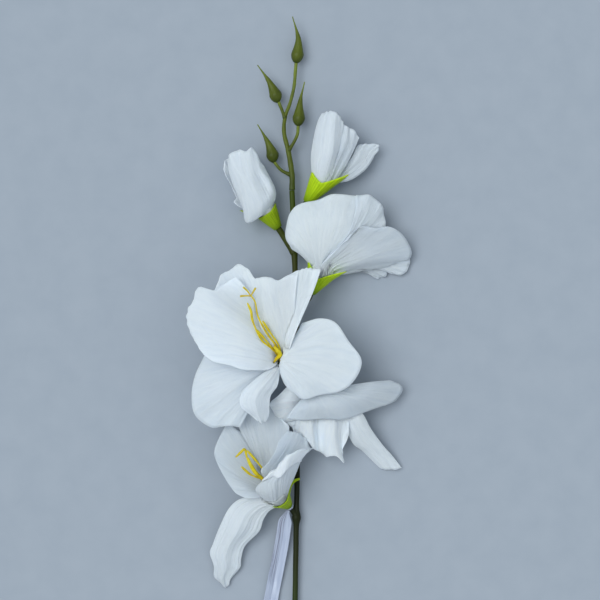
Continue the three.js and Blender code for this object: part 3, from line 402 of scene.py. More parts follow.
NETS_F = [net(
    220, 40,
    [(268, 478, 19), (265, 480, 18.5), (263, 482, 18), (261, 485, 18), (260, 488, 18.5), (259.5, 491, 19.5),
     (260, 494, 22), (262, 497, 25)],
    [(254, 455, 22), (247, 452, 22.5), (241, 458, 23), (237, 469, 23), (239, 478, 22.5), (245, 487, 22.5),
     (250, 494, 24), (259, 498, 26.5)],
    [(240, 432, 24), (228, 424.5, 25), (221, 434, 26), (214.3, 452, 26), (218.5, 466, 24.5), (230, 486, 23.5),
     (240, 496, 25), (257, 497.5, 28)],
    tone=0.72,
), net(
    315, 35,
    [(263, 481, 19.5), (267, 480, 19), (271, 479, 19), (275, 478, 19.5), (279, 478, 20.5), (283, 478, 22)],
    [(250, 452, 22.5), (257, 448, 21.7), (265, 446, 21.5), (272, 446, 22), (279, 449, 23), (284, 455, 25)],
    [(240, 430, 23.5), (250, 424, 22.5), (260, 421, 21.5), (270, 422, 21.5), (280, 427, 22.5),
     (289, 435, 24)],
    [(238, 418, 24), (247, 409, 22.5), (257, 403, 21.5), (268, 404, 21), (277, 414, 20.5), (289, 426.5, 22)],
    tone=0.78,
), net(
    20, 35,
    [(273, 487, 24), (280, 488, 21), (286, 489, 18)],
    [(261, 472, 34), (276, 472, 28), (291, 477, 21)],
    [(268, 463, 35), (282, 461, 28), (299, 464, 21)],
    [(275, 452, 35), (290, 449, 28), (305, 455, 20)],
    [(279, 441, 33), (296, 440, 26), (311, 449, 18)],
    [(288, 431, 29), (299, 433, 24), (306, 440, 18)],
    tone=0.78,
), net(
    75, 50,
    [(264, 499, 23), (268, 501, 25), (273, 502.5, 26.5), (277.5, 503, 26), (282, 502, 24), (286, 499, 21)],
    [(257.5, 493, 29), (263, 494, 32), (270, 493, 34), (277, 490, 34), (284, 488, 31), (290, 487, 26)],
    [(256, 488, 31), (262, 485.5, 35), (269, 483.5, 37.5), (277, 481, 38.5), (286, 476, 36),
     (295.5, 475, 29)],
    [(262, 481.5, 35), (267, 479.3, 38), (273, 477.5, 40), (280, 477, 41), (288, 468, 40), (301, 461.5, 32)],
    [(262.3, 481, 35.5), (267.3, 478.6, 38.4), (273.5, 476.4, 40.5), (280.5, 475.6, 41.5),
     (288.7, 466.8, 40.5), (302, 460, 32)],
    [(263, 480, 36), (268, 476, 39.5), (275, 470, 42), (283, 463, 43), (293, 454.5, 42), (311, 449, 30)],
    [(264, 479.5, 35), (268.5, 474.5, 37.5), (276, 467.5, 40), (284, 460.5, 41), (294.5, 452, 39.5),
     (313, 446, 24)],
    tone=(0.6, 0.7, 0.75, 0.78, 1.15, 1.15, 0.9),
), net(
    180, 36,
    [(262, 498, 22), (270, 502, 22), (277, 506, 18)],
    [(243, 498, 19), (256, 506, 22), (269, 511, 17)],
    [(230, 507, 17), (245, 515, 21), (263, 520, 15)],
    [(220, 526, 13), (238, 530, 19), (259, 531, 12)],
    [(213, 544, 8), (229, 545, 13), (245, 545, 8)],
    [(210, 553, 5), (225, 557, 9), (241, 558, 5)],
    [(214, 566, 4), (226, 568, 7), (240, 567, 4)],
    [(214, 576, 3), (223, 579, 4.5), (232, 577, 3)],
    [(219, 582, 2), (225.5, 587.5, 1.5), (228.5, 583, 2)],
    tone=(0.95, 0.95, 0.95, 0.95, 0.95, 0.95, 0.85, 0.8, 0.8),
)]

# The blooms from the top of the stem down
BLOOMS = {
    "a": Bloom(
        base=(-13.5, 122.5, 11), axis=(-0.56, 0.81, 0.17), mouth=15, stalk=(-3.2, 106, 10.2), slope=0.36,
        notch=12.5, flare=4, calyx_tone=0.64, lobes={20: 14.8, 200: 23, 300: 15},
        petals=[
            Petal(-140, 0, (-46, 163, 9), (-0.5, 0.8, 0.2), (22, 22), LOPSIDED_RIM, 0.01, (0.6, 2, 2),
                  seen=[(229, 158), (226, 160), (224, 161), (224, 168), (225, 176), (231, 186), (237, 198)]),
            Petal(-20, 0, (-28, 160, 7), (-0.4, 0.9, 0.2), (15, 13), LOPSIDED_RIM, 0.03, (1, 3, 0)),
        ],
        nets=NETS_A,
    ),
    "b": Bloom(
        base=(5.2, 139.3, 11), axis=(0.55, 0.79, 0.26), mouth=15, stalk=(-3.5, 124, 10.2), slope=0.33,
        notch=17.5, flare=0.3, calyx_tone=0.98, lobes={25: 32, 146: 19},
        petals=[
            Petal(-120, 0, (35, 181, 5), (0.5, 0.8, 0.3), (14, 14), POINTED_RIM, 0.03, (0.8, 3, 1),
                  seen=[(349, 139), (355, 136), (358, 138), (354, 148), (350, 157)]),
        ],
        nets=NETS_B,
    ),
    "c": Bloom(
        base=(7.7, 80.6, 12), axis=(0.43, 0.88, 0.21), mouth=18, stalk=(-1.9, 70, 10), notch=12, calyx_tone=1,
        lobes={30: 24.5, 150: 19.5, 270: 16},
        petals=[
            Petal(-120, 0, (42, 129, 1), (0.5, 0.8, -0.1), (20, 20), POINTED_RIM, 0.01, (1.2, 3, 1),
                  (0, 0, 1)),
        ],
        nets=NETS_C,
        filaments=[
            [(18.5, 102, 17), (24, 113, 19), (28, 121, 17)],
            [(17.5, 103, 18), (20, 114, 19), (22, 121, 16)],
            [(19.5, 101.5, 17), (27, 111, 18), (33, 117, 16)],
        ],
    ),
    "d": Bloom(
        base=(-9.5, 33, 14.5), axis=(-0.12, 0.36, 0.92), slope=0.25, mouth=16, stalk=(-1.3, 24, 8.8),
        notch=10, wrap=44, pinch=1.6, lobes={30: 16, 150: 16, 270: 16},
        petals=[
            Petal(-30, 0, (0, 96, 37.5), (0.1, 0.9, -0.1), (27, 10), (0.7, 0.88, 1, 1, 1.01, 1.02, 1.05),
                  0.004, (1.2, 3, 1.9), (0, -0.2, 1),
                  seen=[(292, 273), (299, 270), (307, 268), (319, 269)]),
            Petal(-90, 1, (-31, 97, 37), (-0.2, 0.9, -0.1), (23, 23),
                  (0.98, 0.97, 1.03, 1.01, 0.92, 0.98, 0.94), 0.004, (1.8, 3, 0), (0, -0.2, 1),
                  seen=[(214, 291), (217, 285), (221, 274), (230, 270), (237, 264), (241, 264), (249, 270),
                        (255, 279), (262, 277), (269, 277), (278, 281), (285, 277), (292, 274)]),
            Petal(-150, 1, (-70, 66, 43), (-0.9, 0.3, -0.1), (27, 27),
                  (0.45, 0.86, 0.97, 1, 0.95, 0.97, 0.86), 0.004, (2.3, 4, 0), (0.1, 0, 1), curl=(-3, 0.75),
                  seen=[(214, 291), (205, 288), (199, 286), (195, 291), (194, 300), (189, 307), (186, 317),
                        (189, 330), (197, 345), (205, 356), (214, 362), (230, 365), (241, 369), (247, 372),
                        (256, 371)]),
        ],
        nets=NETS_D,
        filaments=[
            [(-12.2, 41, 31), (-15, 47.8, 37.5), (-19.9, 54.4, 42), (-25.8, 65.9, 46), (-27.8, 75.4, 48.5),
             (-30.5, 79.2, 49)],
            [(-12.8, 41, 31.5), (-18.1, 45.9, 38), (-23.7, 51, 43), (-29.3, 63.6, 46.5), (-30.1, 68.9, 47.5),
             (-32.4, 74.2, 48)],
            [(-11.6, 41.4, 31), (-13.1, 47.8, 38), (-17.6, 54.8, 43), (-22.9, 62.8, 46)],
            [(-13.2, 40.5, 31), (-17.1, 45.7, 37), (-21.8, 51.7, 42), (-27, 57.5, 45)],
        ],
        stigmas=[
            [(-30.2, 78.6, 49), (-32.6, 82, 49.5), (-35, 84.1, 50)],
            [(-30.2, 78.6, 49), (-28.5, 81.4, 49.5), (-27.2, 83.6, 50)],
            [(-30.2, 78.6, 49), (-33.8, 78.7, 49.5), (-36.9, 78.4, 49.5)],
        ],
        roots=[
            ([(-16.1, 36.2, 38.5), (-14.2, 39, 37), (-12, 41.5, 36), (-13.6, 44.1, 37.5),
              (-15.8, 46.7, 38.5)],
             (0.5, 1.0, 1.4, 1.35, 0.9)),
        ],
    ),
    "e": Bloom(
        base=(12.2, 29.7, 12), axis=(0.1, -0.9, 0.42), mouth=18, stalk=(-1.3, 36, 9.4), notch=10,
        lobes={30: 17, 150: 17, 270: 15},
        petals=[
            Petal(-30, 0, (-5.5, -6.5, 18), (-0.7, -0.5, 0.1), (20, 20), ROUND_RIM, 0.01, (1, 3, 0),
                  (0, 0, 1)),
        ],
        nets=NETS_E,
        filaments=[
            [(14.3, 13, 20), (14.5, 8, 21.5), (13, 3, 21)],
            [(15, 13, 20), (17, 8, 21), (18.5, 4, 20)],
            [(13.5, 13, 20), (11.5, 9, 21), (9, 6, 20)],
        ],
    ),
    "f": Bloom(
        base=(-6.8, -56.6, 10), axis=(-0.525, 0.557, 0.643), mouth=20, stalk=(-1.9, -63, 6.6), notch=11,
        wrap=42, calyx_tone=0.72, lobes={10: 19, 130: 11, 250: 15},
        petals=[
            Petal(-100, 0, (-38, -9, 17), (-0.5, 0.8, 0), (20, 20), ROUND_RIM, 0.01, (1.2, 3, 2),
                  (0.2, -0.2, 1), tone=0.74),
        ],
        nets=NETS_F,
        sepal=[(-8.3, -53, 17), (-7.2, -48.4, 18.5), (-6.3, -44.6, 19), (-4.9, -41.7, 19),
               (-2.5, -39.8, 18.5), (0.5, -38.6, 18)],
        filaments=[
            [(-19.5, -43, 24), (-23.6, -37.5, 27), (-27.5, -34.9, 30), (-31, -29.2, 33), (-32.8, -24.5, 35),
             (-34.5, -18.4, 36.5), (-36.7, -20.2, 37.5), (-40, -23.4, 37)],
            [(-18.5, -42, 24.5), (-21, -34.9, 28), (-23.8, -30.3, 31), (-28.3, -24.6, 34),
             (-32.8, -19.3, 36)],
            [(-20, -43.5, 23.5), (-23.6, -38.4, 26), (-27.5, -36.6, 29), (-31.1, -34.7, 31),
             (-36.5, -29.7, 33.5)],
        ],
        roots=[
            ([(-19.5, -43, 24), (-23.6, -37.5, 27.3), (-27.2, -34, 30.3), (-30.4, -28.4, 33.3),
              (-32.3, -24, 35.3)],
             (0.8, 1, 1.1, 1, 0.6)),
        ],
    ),
}


# Helpers

def smooth(x, low, high):
    t = np.clip((np.asarray(x, float) - low) / (high - low), 0, 1)
    return t * t * (3 - 2 * t)


def bell(x, centre, width):
    return np.exp(-((x - centre) / width) ** 2)


def unit(vectors):
    vectors = np.asarray(vectors, float)
    return vectors / np.maximum(np.linalg.norm(vectors, axis=-1, keepdims=True), TINY)


def mix(a, b, t):
    return a + (b - a) * t


# A sum of seeded sines, between about -1 and 1, for uneven edges and folds
def ripple(x, seed, low, high, terms=4):
    draw = np.random.default_rng(seed)
    total = np.zeros_like(np.asarray(x, float))
    for _ in range(terms):
        total += np.sin(draw.uniform(low, high) * x + draw.uniform(0, 2 * math.pi))
    return total / terms * RIPPLE_GAIN


# A curve from p1 to p2 that has the slopes m1 and m2 there
def cubic(p1, p2, m1, m2, t):
    return (2 * p1 - 2 * p2 + m1 + m2) * t ** 3 + (3 * (p2 - p1) - 2 * m1 - m2) * t ** 2 + m1 * t + p1


# An even spline through points along the first axis, at t from 0 to 1. It runs out straight at its ends, or
# levels off there without a lead.
def spline(points, t, lead=1):
    before = points[:1] + lead * (points[:1] - points[1:2])
    after = points[-1:] + lead * (points[-1:] - points[-2:-1])
    padded = np.concatenate([before, points, after])
    at = t * (len(points) - 1)
    k = np.clip(np.floor(at).astype(int), 0, len(points) - 2)
    w = (at - k).reshape((-1,) + (1,) * (points.ndim - 1))
    p0, p1, p2, p3 = (padded[k + i] for i in range(4))
    return cubic(p1, p2, (p2 - p0) / 2, (p3 - p1) / 2, w)


# Points at even steps along the centripetal curve through a route
def smooth_route(route, steps):
    knots = np.asarray(route, float)
    padded = np.vstack([2 * knots[0] - knots[1], knots, 2 * knots[-1] - knots[-2]])
    fine = []
    for i in range(len(knots) - 1):
        p0, p1, p2, p3 = padded[i:i + 4]
        d0, d1, d2 = np.linalg.norm(np.diff(padded[i:i + 4], axis=0), axis=1) ** 0.5
        m1 = ((p1 - p0) / d0 - (p2 - p0) / (d0 + d1) + (p2 - p1) / d1) * d1
        m2 = ((p2 - p1) / d1 - (p3 - p1) / (d1 + d2) + (p3 - p2) / d2) * d1
        t = np.linspace(0, 1, ROUTE_FINENESS, endpoint=i == len(knots) - 2)[:, None]
        fine.append(cubic(p1, p2, m1, m2, t))
    return even_steps(np.vstack(fine), steps)


def even_steps(points, steps):
    reach = np.concatenate([[0], np.cumsum(np.linalg.norm(np.diff(points, axis=0), axis=1))])
    at = np.linspace(0, reach[-1], steps + 1)
    return np.stack([np.interp(at, reach, points[:, k]) for k in range(3)], 1)


# A direction carried along a path and kept square to it
def carried(direction, along):
    path = []
    for step in along:
        direction = unit(direction - step * np.dot(direction, step))
        path.append(direction)
    return np.array(path)


def add_object(name, data):
    item = bpy.data.objects.new(name, data)
    bpy.context.scene.collection.objects.link(item)
    return item


# A piece's mesh, gathered grid by grid, with two coordinates and painted light and shade for the shader at
# each vertex
class Gather:
    def __init__(self):
        self.points, self.faces, self.values = [], [], []

    def grid(self, points, across, along, close=False, tone=1.0):
        shape = points.shape[:2]
        index = sum(map(len, self.points)) + np.arange(shape[0] * shape[1]).reshape(shape)
        if close:
            index = np.hstack([index, index[:, :1]])
        corners = index[:-1, :-1], index[1:, :-1], index[1:, 1:], index[:-1, 1:]
        self.faces += np.stack(corners, -1).reshape(-1, 4).tolist()
        self.points.append(points.reshape(-1, 3))
        values = (np.broadcast_to(each, shape).ravel() for each in (across, along, tone))
        self.values.append(np.stack(list(values), -1))

    def mesh(self, name):
        data = bpy.data.meshes.new(name)
        data.from_pydata((np.vstack(self.points) * MM).tolist(), [], self.faces)
        data.polygons.foreach_set("use_smooth", [True] * len(data.polygons))
        values = np.vstack(self.values).astype(np.float32)
        corners = np.empty(len(data.loops), int)
        data.loops.foreach_get("vertex_index", corners)
        data.uv_layers.new(name="place").data.foreach_set("uv", values[corners, :2].ravel())
        data.attributes.new("tone", "FLOAT", "POINT").data.foreach_set("value", values[:, 2].copy())
        data.update()
        return data

    def piece(self, name, material, slot, node, thickness=0):
        piece = add_object(name, self.mesh(name))
        piece.data.materials.append(material)
        if thickness:
            sheet = piece.modifiers.new("sheet", "SOLIDIFY")
            sheet.thickness = thickness * MM
            sheet.offset = 0
        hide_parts(node)
        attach(piece, "root")


# A tube through given centres, closed at both ends and kept above the floor. radius_at takes the share of the
# length and the turn round the tube.
def tube(gather, centres, radius_at, sides):
    along = unit(np.gradient(centres, axis=0))
    right = carried(np.cross(along[0], UP), along)
    up = np.cross(right, along)
    share = np.linspace(0, 1, len(centres))[:, None]
    turn = np.linspace(0, 2 * math.pi, sides, endpoint=False)[None, :]
    radius = np.broadcast_to(radius_at(share, turn), (len(centres), sides))[..., None]
    rings = centres[:, None] + radius * (right[:, None] * np.cos(turn)[..., None]
                                         + up[:, None] * np.sin(turn)[..., None])
    ends = centres[[0, -1], None].repeat(sides, 1)
    rings = np.concatenate([ends[:1], rings, ends[1:]])
    rings[..., 2] = np.maximum(rings[..., 2], 0)
    gather.grid(rings, turn / (2 * math.pi), np.concatenate([share[:1], share, share[-1:]]), close=True)


# A radius that runs evenly from each given value to the next
def tapered(*radii):
    return lambda share, turn: np.interp(share, np.linspace(0, 1, len(radii)), radii)


# A radius that swells towards its foot, over a share of the length
def footed(radius, swell, over):
    return lambda share, turn: radius + swell * smooth(1 - share, 1 - over, 1)


# Blooms

def throat_radius(bloom, s):
    return CALYX_FOOT_RADIUS + bloom.slope * s


# The points at a distance s along a bloom's axis and r from it, at an azimuth in degrees
def bloom_frame(bloom):
    axis = unit(bloom.axis)
    right = unit(np.cross(axis, UP))
    over = np.cross(right, axis)

    def at(s, r, azimuth):
        s, r, turn = (each[..., None] for each in np.broadcast_arrays(s, r, np.radians(azimuth)))
        return np.array(bloom.base, float) + s * axis + r * np.cos(turn) * right + r * np.sin(turn) * over

    return at


def turned(gather, at, profile, sides=32):
    radius, s = np.array(profile, float).T[..., None]
    azimuth = np.linspace(0, 360, sides, endpoint=False)
    gather.grid(at(s, radius, -azimuth), azimuth / 360, (s - s.min()) / np.ptp(s), close=True)


# Petals

ACROSS = np.linspace(-1, 1, PETAL_COLUMNS + 1)
ALONG = np.linspace(0, 1, PETAL_ROWS + 1)
V, U = np.meshgrid(ACROSS, ALONG)


# Where the camera sees points, on the floor plane
def seen_place(points):
    return VIEW_CENTRE + (points[..., :2] - VIEW_CENTRE) * VIEW_HEIGHT / (VIEW_HEIGHT - points[..., 2:])


# Pixels of the photograph, on the floor plane
def pixel_place(pixels):
    off = (np.array(pixels, float) - PHOTO_SIDE / 2) * (1, -1)
    return VIEW_CENTRE + off * VIEW_WIDTH / PHOTO_SIDE


# The radius at which a petal lies in the throat
def petal_throat(bloom, petal, s):
    narrow = bloom.pinch * smooth(s, PETAL_ROOT, bloom.mouth)
    return throat_radius(bloom, s) - PETAL_INSET - LAYER_STEP * petal.layer - narrow


# The line of a petal's rib: up the throat and out to the tip
def rib_line(bloom, at, petal):
    foot, mouth = (at(s, petal_throat(bloom, petal, s), petal.root) for s in (PETAL_ROOT, bloom.mouth))
    tip = np.array(petal.tip, float)
    reach = np.linalg.norm(tip - mouth)
    leave = mouth + unit(mouth - foot) * reach * RIB_LEAVE
    arrive = tip - unit(petal.end) * reach * RIB_ARRIVE
    t = np.linspace(0, 1, 200)[:, None]
    bend = mouth * (1 - t) ** 3 + 3 * leave * t * (1 - t) ** 2 + 3 * arrive * t ** 2 * (1 - t) + tip * t ** 3
    return np.vstack([foot, bend])


# The rib with the cloth's side and inward directions, turned to the petal's face at the tip
def petal_rib(bloom, at, petal):
    line = rib_line(bloom, at, petal)
    points = even_steps(line, RIB_SAMPLES)
    along = unit(np.gradient(points, axis=0))
    inward = carried(at(0, 0, 0) - at(0, 1, petal.root), along)
    if petal.face:
        side = np.cross(along[-1], inward[-1])
        twist = math.atan2(np.dot(petal.face, side), np.dot(petal.face, inward[-1]))
        turn = (twist * smooth(np.linspace(0, 1, RIB_SAMPLES + 1), TWIST_START, 1))[:, None]
        inward = inward * np.cos(turn) + np.cross(along, inward) * np.sin(turn)
    return Rib(points, np.cross(along, inward), inward, np.linalg.norm(np.diff(line, axis=0), axis=1).sum())


# Creases that run out from the throat
def creases(u, v, seed):
    draw = np.random.default_rng(seed)
    height = np.zeros_like(u)
    for _ in range(CREASES):
        at, width = draw.uniform(-0.9, 0.9), draw.uniform(0.03, 0.1)
        tall, fade = draw.uniform(0.2, 0.6) * draw.choice([-1, 1]), draw.uniform(0.55, 1.1)
        off = np.abs(v - at - draw.uniform(-0.15, 0.15) * u) / width
        height += tall * np.exp(-off) * smooth(u, 0.1, 0.3) * (1 - smooth(u, fade - 0.4, fade))
    return height


# Creases, soft folds, and a rim that ruffles and rolls a little
def cloth_folds(u, v, seed):
    folds = FOLD_HEIGHT * ripple(v * 3 + u, seed + 1, 0.8, 2.4) * smooth(u, 0.2, 0.7)
    ruffle = RUFFLE_HEIGHT * ripple(v * 4, seed + 2, 1.5, 4.5) * smooth(u, 0.7, 1) ** 2
    roll = ROLL_HEIGHT * ripple(v, seed + 3, 1, 3, 2) * smooth(u, 0.9, 1) ** 2
    return creases(u, v, seed) + folds + ruffle + roll


# How far the cloth lies to the side of the rib and inward of it, at a along the rib and b across it: wrapped
# round the throat at first, then opening out
def wrapped(bloom, petal, a, b):
    wide = bloom.mouth + OPENING
    opened = smooth(a, bloom.mouth - OPENING_LEAD, wide)
    throat = petal_throat(bloom, petal, np.minimum(a, wide))
    limit = math.radians(bloom.wrap) * throat
    b = np.where(np.abs(b) > limit, mix(np.sign(b) * limit, b, opened), b)
    bend = mix(1 / throat, petal.cup, opened)
    turn = bend * b
    straight = np.abs(turn) < NEARLY_STRAIGHT
    return np.where(straight, b, np.sin(turn) / bend), np.where(straight, 0, (1 - np.cos(turn)) / bend)


def fan_angle(petal, v):
    return v * np.radians(np.where(v < 0, *petal.fan))


# The petal's sheet at v across the fan and at a distance span from its root, lifted by folds and kept above
# the floor
def petal_sheet(bloom, petal, rib, v, span, folds=0):
    angle = fan_angle(petal, v)
    a = span * np.cos(angle)
    sideways, lifted = wrapped(bloom, petal, a, span * np.sin(angle))
    share = span / (PETAL_ROOT + rib.length)
    height, waves, phase = petal.wave
    wave = height * smooth(share, WAVE_START, 1) ** 2 * np.sin(waves * v * math.pi / 2 + phase)
    roll, start = petal.curl
    lifted = lifted + wave + folds + roll * smooth(share, start, 1) ** 2
    t = (a - PETAL_ROOT) / rib.length * RIB_SAMPLES
    k = np.clip(np.floor(t).astype(int), 0, RIB_SAMPLES - 1)
    points, side, inward = (mix(each[k], each[k + 1], (t - k)[..., None]) for each in rib[:3])
    place = points + side * sideways[..., None] + inward * lifted[..., None]
    above = place[..., 2] - FLOOR_GAP
    place[..., 2] = FLOOR_GAP + 0.5 * (above + np.sqrt(above ** 2 + 1))
    return place


# The rim's reach across the fan: as listed, or as far as the photograph shows it
def petal_rim(bloom, petal, rib):
    if not petal.seen:
        return spline(np.array(petal.rim, float), (ACROSS + 1) / 2, lead=0)
    v, share = np.meshgrid(np.linspace(-1, 1, SEEN_COLUMNS), np.linspace(*SEEN_REACH, SEEN_ROWS))
    views = seen_place(petal_sheet(bloom, petal, rib, v, share * (PETAL_ROOT + rib.length)))
    nearest = [np.linalg.norm(views - spot, axis=-1).argmin() for spot in pixel_place(petal.seen)]
    at, reach = np.array(sorted((v.flat[k], share.flat[k]) for k in nearest)).T
    if at[0] > -SEEN_EDGE:
        at, reach = np.append(-1, at), np.append(min(petal.rim[0], reach[0]), reach)
    if at[-1] < SEEN_EDGE:
        at, reach = np.append(at, 1), np.append(reach, min(petal.rim[-1], reach[-1]))
    return np.interp(ACROSS, at, reach)


def petal_points(bloom, at, petal, seed):
    rib = petal_rib(bloom, at, petal)
    flat = PETAL_ROOT + rib.length
    rim = flat * petal_rim(bloom, petal, rib) * (1 + FRAY * ripple(ACROSS, seed + 4, 20, 60))
    span = mix(PETAL_ROOT / np.cos(fan_angle(petal, V)), rim, U)
    return petal_sheet(bloom, petal, rib, V, span, cloth_folds(span / flat, V, seed)), petal.tone


# A net's points from the photograph's pixels, led out of the throat by two rows
def net_knots(bloom, at, petal):
    rows = np.array(petal.rows, float)
    spots, height = pixel_place(rows[..., :2]), rows[..., 2:]
    knots = np.concatenate([mix(spots, VIEW_CENTRE, height / VIEW_HEIGHT), height], -1)
    s = np.array([PETAL_ROOT, bloom.mouth - NET_ROOT_TOP])[:, None]
    turn = petal.root + petal.spread * np.linspace(-1, 1, knots.shape[1])
    throat = at(s, throat_radius(bloom, s) - PETAL_INSET, turn)
    throat = min(throat, throat[:, ::-1], key=lambda way: np.linalg.norm(way[-1] - knots[0], axis=-1).sum())
    return np.concatenate([throat, knots])


# A net's points, with folds along its own normal, and its painted light and shade row by row
def net_points(bloom, at, petal, seed):
    knots = net_knots(bloom, at, petal)
    points = spline(spline(knots, ALONG).swapaxes(0, 1), (ACROSS + 1) / 2).swapaxes(0, 1)
    normal = unit(np.cross(np.gradient(points, axis=0), np.gradient(points, axis=1)))
    points = points + normal * (petal.folds * cloth_folds(U, V, seed))[..., None]
    points[..., 2] = np.maximum(points[..., 2], FLOOR_GAP)
    painted_shadings = np.atleast_1d(petal.tone)
    return points, np.interp(ALONG, np.linspace(2 / (len(knots) - 1), 1, len(painted_shadings)), painted_shadings)[:, None]


def petals_piece(key, bloom, at, material):
    gather = Gather()
    for first, petals, points_of in ((0, bloom.petals, petal_points), (NET_SEED, bloom.nets, net_points)):
        for i, petal in enumerate(petals):
            seed = 100 * (1 + ord(key) - ord("a")) + 10 * i + first
            # Each petal's colour is scaled by its painted light and shade, carried with its points
            points, tone = points_of(bloom, at, petal, seed)
            gather.grid(points, V / 2 + seed / 10, U, tone=tone)
    gather.piece(f"bloom_{key}_petals", material, "petals", f"petals_{key}", CLOTH)


# Calyx

# The calyx's height at each azimuth, with its pointed lobes
def calyx_top(bloom, azimuth):
    top = np.full(len(azimuth), float(bloom.notch))
    for centre, height in bloom.lobes.items():
        off = np.abs((azimuth - centre + 540) % 360 - 180) / LOBE_HALF_WIDTH
        top = np.maximum(top, mix(bloom.notch, height, np.maximum(1 - off, 0) ** LOBE_SHARPNESS))
    return top


def sepal_radius(share, turn):
    return mix(*SEPAL_RADII, share) * (1 - SEPAL_FLATNESS * np.sin(turn) ** 2)


def calyx_piece(key, bloom, at, material):
    azimuth = np.linspace(0, 360, CALYX_SIDES, endpoint=False)
    top = calyx_top(bloom, azimuth)

    def throat(s):
        return throat_radius(bloom, s) + bloom.flare * np.maximum((s - bloom.notch) / 10, 0) ** 2

    share = np.linspace(0, 1, CALYX_RINGS)[:, None]
    inside, outside = mix(CALYX_HOLE_DEPTH + CALYX_FLOOR, top, share), top * share[::-1]
    rib = CALYX_RIB * np.cos(np.radians(azimuth * CALYX_RIBS))
    wall = CALYX_WALL * (1 - 0.5 * outside / top.max()) + rib * smooth(outside / top, 0.1, 0.5)
    foot = np.zeros((1, CALYX_SIDES))
    hole = foot + CALYX_HOLE
    s = np.vstack([foot, foot + CALYX_HOLE_DEPTH, inside, outside, foot])
    r = np.vstack([hole, hole, throat(inside), throat(outside) + wall, hole])
    gather = Gather()
    # The calyx carries its bloom's painted shade
    gather.grid(at(s, r, azimuth), azimuth / 360, s / top.max(), close=True, tone=bloom.calyx_tone)
    if bloom.sepal:
        tube(gather, smooth_route(bloom.sepal, 30), sepal_radius, 16)
    gather.piece(f"bloom_{key}_calyx", material, "calyx", f"calyx_{key}")


# Stamens

# A filament's radius, with its anther near the tip
def filament(swell):
    def radius(share, turn):
        anther = smooth(share, *ANTHER_FOOT) * (1 - smooth(share, *ANTHER_TIP))
        return mix(*FILAMENT_RADII, share) + swell * anther

    return radius


# The bunch, in which the style that carries the stigmas is the first filament
def stamens_piece(key, bloom, at, material):
    gather = Gather()
    turned(gather, at, STAMEN_FOOT)
    start = tuple(at(STAMEN_START, 0, 0))
    for i, route in enumerate(bloom.filaments):
        swell = 0 if bloom.stigmas and i == 0 else ANTHER_SWELL
        tube(gather, smooth_route([start] + route, 60), filament(swell), 12)
    for route, radii in bloom.roots:
        tube(gather, smooth_route(route, 40), tapered(*radii), 14)
    for route in bloom.stigmas:
        tube(gather, smooth_route(route, 14), tapered(*STIGMA_RADII), 10)
    gather.piece(f"bloom_{key}_stamens", material, "stamens", f"stamens_{key}")


# Stem and wire

def stem_piece(frames, material):
    gather = Gather()
    centres = smooth_route(STEM_ROUTE, 260)
    y = centres[:, 1:2]
    swell = KNUCKLE_SWELL * bell(y, KNUCKLE_Y, KNUCKLE_LENGTH / 2)
    for bloom in BLOOMS.values():
        swell = swell + NODE_SWELL * bell(y, bloom.stalk[1], NODE_REACH)

    def radius(share, turn):
        seam = SEAM_SIZE * sum(bell(turn, at, SEAM_SIZE) for at in SEAM_TURNS)
        uneven = sum(size * np.sin(along * share + around * turn) for size, along, around in STEM_UNEVEN)
        return STEM_RADIUS - SKIN + swell + seam + uneven

    tube(gather, centres, radius, 28)
    cut_bore(gather)
    for key, bloom in BLOOMS.items():
        start = np.array(bloom.stalk, float)
        lead, seat = (frames[key](s, 0, 0) for s in (STALK_LEAD, -SEAT_GAP))
        route = [start, mix(start, lead, 0.6), lead, seat]
        tube(gather, smooth_route(route, 30), footed(STALK_RADIUS - 2 * SKIN, *STALK_FOOT), 20)
    gather.piece("moulded_stem", material, "stem", "stem")


# The dark ring of the bore round the wire, a shallow recess at the cut end
def cut_bore(gather):
    x, y, z = STEM_ROUTE[0]
    turn = np.linspace(0, 2 * math.pi, 24, endpoint=False)
    radius, depth = np.array(BORE_RING).T[..., None]
    rings = np.broadcast_arrays(x + radius * np.cos(turn), y + depth, z + radius * np.sin(turn))
    gather.grid(np.stack(rings, -1), 0, 0, close=True)


def wire_piece(material):
    x, y, z = STEM_ROUTE[0]
    gather = Gather()
    route, steps = [(x, y - WIRE_OUT, z), (x, y + BORE_DEPTH, z + WIRE_RISE)], 20
    tube(gather, smooth_route(route, steps), tapered(WIRE_RADIUS - WIRE_BEVEL, *[WIRE_RADIUS] * steps), 16)
    gather.piece("core_wire", material, "wire", "stem_wire")


# Bud spray

# A bud's radius: widest near its foot and drawn out to the tip, with a wound overlap and fine ridges
def bud_radius(share, turn):
    swell = np.sqrt(np.maximum(1 - ((BUD_WIDEST_AT - share) / BUD_WIDEST_AT) ** 2, 0))
    taper = np.abs(1 - (share - BUD_WIDEST_AT) / (1 - BUD_WIDEST_AT)) ** BUD_TAPER
    plain = np.where(share < BUD_WIDEST_AT, np.maximum(BUD_WIDEST * swell, BUD_FOOT_RADIUS),
                     mix(BUD_TIP_RADIUS, BUD_WIDEST, taper))
    wrap = smooth(np.sin(turn + BUD_WIND * share), -0.05, 0.05) * smooth(share, 0.05, 0.15)
    ridges = BUD_RIDGE * np.cos(BUD_RIDGES * turn) * smooth(share, 0.1, 0.3)
    return plain * (1 + ridges) + BUD_WRAP * wrap * (1 - smooth(share, 0.5, 0.8))


# The spray's radius, with a ring where it is plugged on the stem
def spray_radius(share, turn):
    body = mix(*SPRAY_RADII, smooth(share, 0, SPRAY_SLIM_AT))
    uneven = SKIN * (np.sin(SPRAY_WAVES * share + 2 * turn) + np.cos(3 * turn))
    return body + SPRAY_RING * bell(share, 0, SPRAY_RING_REACH) + uneven


